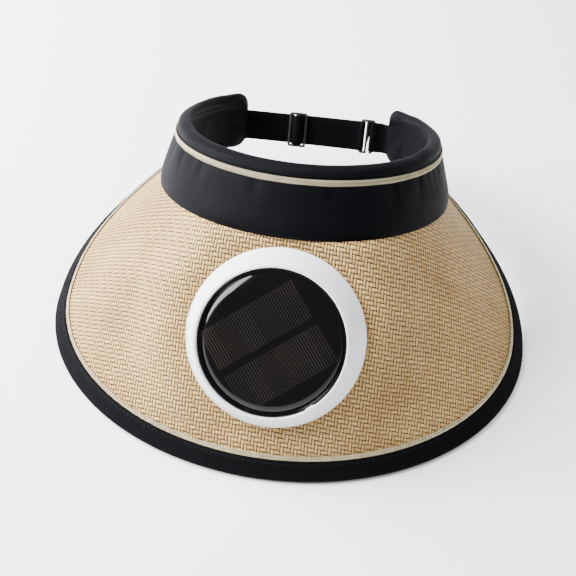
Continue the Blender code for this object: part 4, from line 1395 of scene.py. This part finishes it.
def studio():
    """Pale floor and sky, a window on the left and two weak fills."""
    deselect()
    bpy.ops.mesh.primitive_plane_add(size=6.0)
    floor = bpy.context.object
    floor.name = "floor"
    made, tree, shader = new_finish("Pale floor", Roughness=0.7, Specular_IOR_Level=0.2)
    drift = noise(tree, object_place(tree), 1.5, 2.0)["Fac"]
    set_shader(tree, shader,
               Base_Color=blend(tree, drift, (0.95, 0.95, 0.95), (0.97, 0.97, 0.97)))
    floor.data.materials.append(made)

    world = bpy.data.worlds.new("Studio")
    world.use_nodes = True
    sky = world.node_tree.nodes["Background"].inputs
    sky["Color"].default_value = (0.95, 0.97, 1.0, 1.0)
    sky["Strength"].default_value = 0.55
    bpy.context.scene.world = world
    lamps = (
        # name, direction from the hat, distance, size, watts
        ("window_left", (-0.82, 0.15, 0.56), 1.25, 1.05, 118.0),
        ("sky_panel", (0.10, 0.25, 1.00), 1.7, 1.6, 30.0),
        ("front_fill", (0.55, -0.75, 0.45), 1.9, 0.9, 1.5),
    )
    hat_middle = Vector((0.0, -0.03, 0.06))
    for name, way, distance, size, watts in lamps:
        lamp = bpy.data.lights.new(name, "AREA")
        lamp.shape = "SQUARE"
        lamp.size = size
        lamp.energy = watts
        holder = linked(name, lamp)
        way = Vector(way).normalized()
        holder.location = hat_middle + way * distance
        holder.rotation_euler = way.to_track_quat("Z", "Y").to_euler()
        # only the window shows as a highlight in the resin
        holder.visible_glossy = name == "window_left"


def photo_camera():
    """The photograph's view of the hat."""
    back = Vector((math.sin(PHOTO_TURN) * math.cos(PHOTO_RISE),
                   -math.cos(PHOTO_TURN) * math.cos(PHOTO_RISE), math.sin(PHOTO_RISE)))
    level = Vector((math.cos(PHOTO_TURN), math.sin(PHOTO_TURN), 0.0))
    upward = back.cross(level)
    right = math.cos(PHOTO_ROLL) * level + math.sin(PHOTO_ROLL) * upward
    up = -math.sin(PHOTO_ROLL) * level + math.cos(PHOTO_ROLL) * upward
    made = bpy.data.cameras.new("photo_view")
    made.sensor_width = SENSOR_WIDTH
    made.lens = PHOTO_FOCUS / PHOTO_WIDTH * SENSOR_WIDTH
    made.clip_start = 0.05
    made.clip_end = 20.0
    camera = linked("photo_view", made)
    place = Matrix((right, up, back)).transposed().to_4x4()
    place.translation = PHOTO_AIM + HAT_SHIFT + back * PHOTO_DISTANCE
    camera.matrix_world = place
    bpy.context.scene.camera = camera


photo_camera()
studio()
straw_cover()
edge_tape()
tape_stitches()
plait("edge_plait", edge_line(), EDGE_BRAID_WIDTH, EDGE_BRAID_THICK, 1.05, 1.35 * MM, "edge_braid")
padded_band()
band_stitches()
plait("band_plait", band_line(1.0 - BRAID_END / band_length(), 130, BRAID_RISE, -GAP),
      BRAID_WIDTH, BRAID_THICK, 1.0, 1.60 * MM, "band_braid")
elastic("elastic_left", left_route(), "strap_left")
elastic("elastic_right", right_route(), "strap_right")
strap_fittings()
ring_cover()
panel_cover()
fan_parts()
deselect()
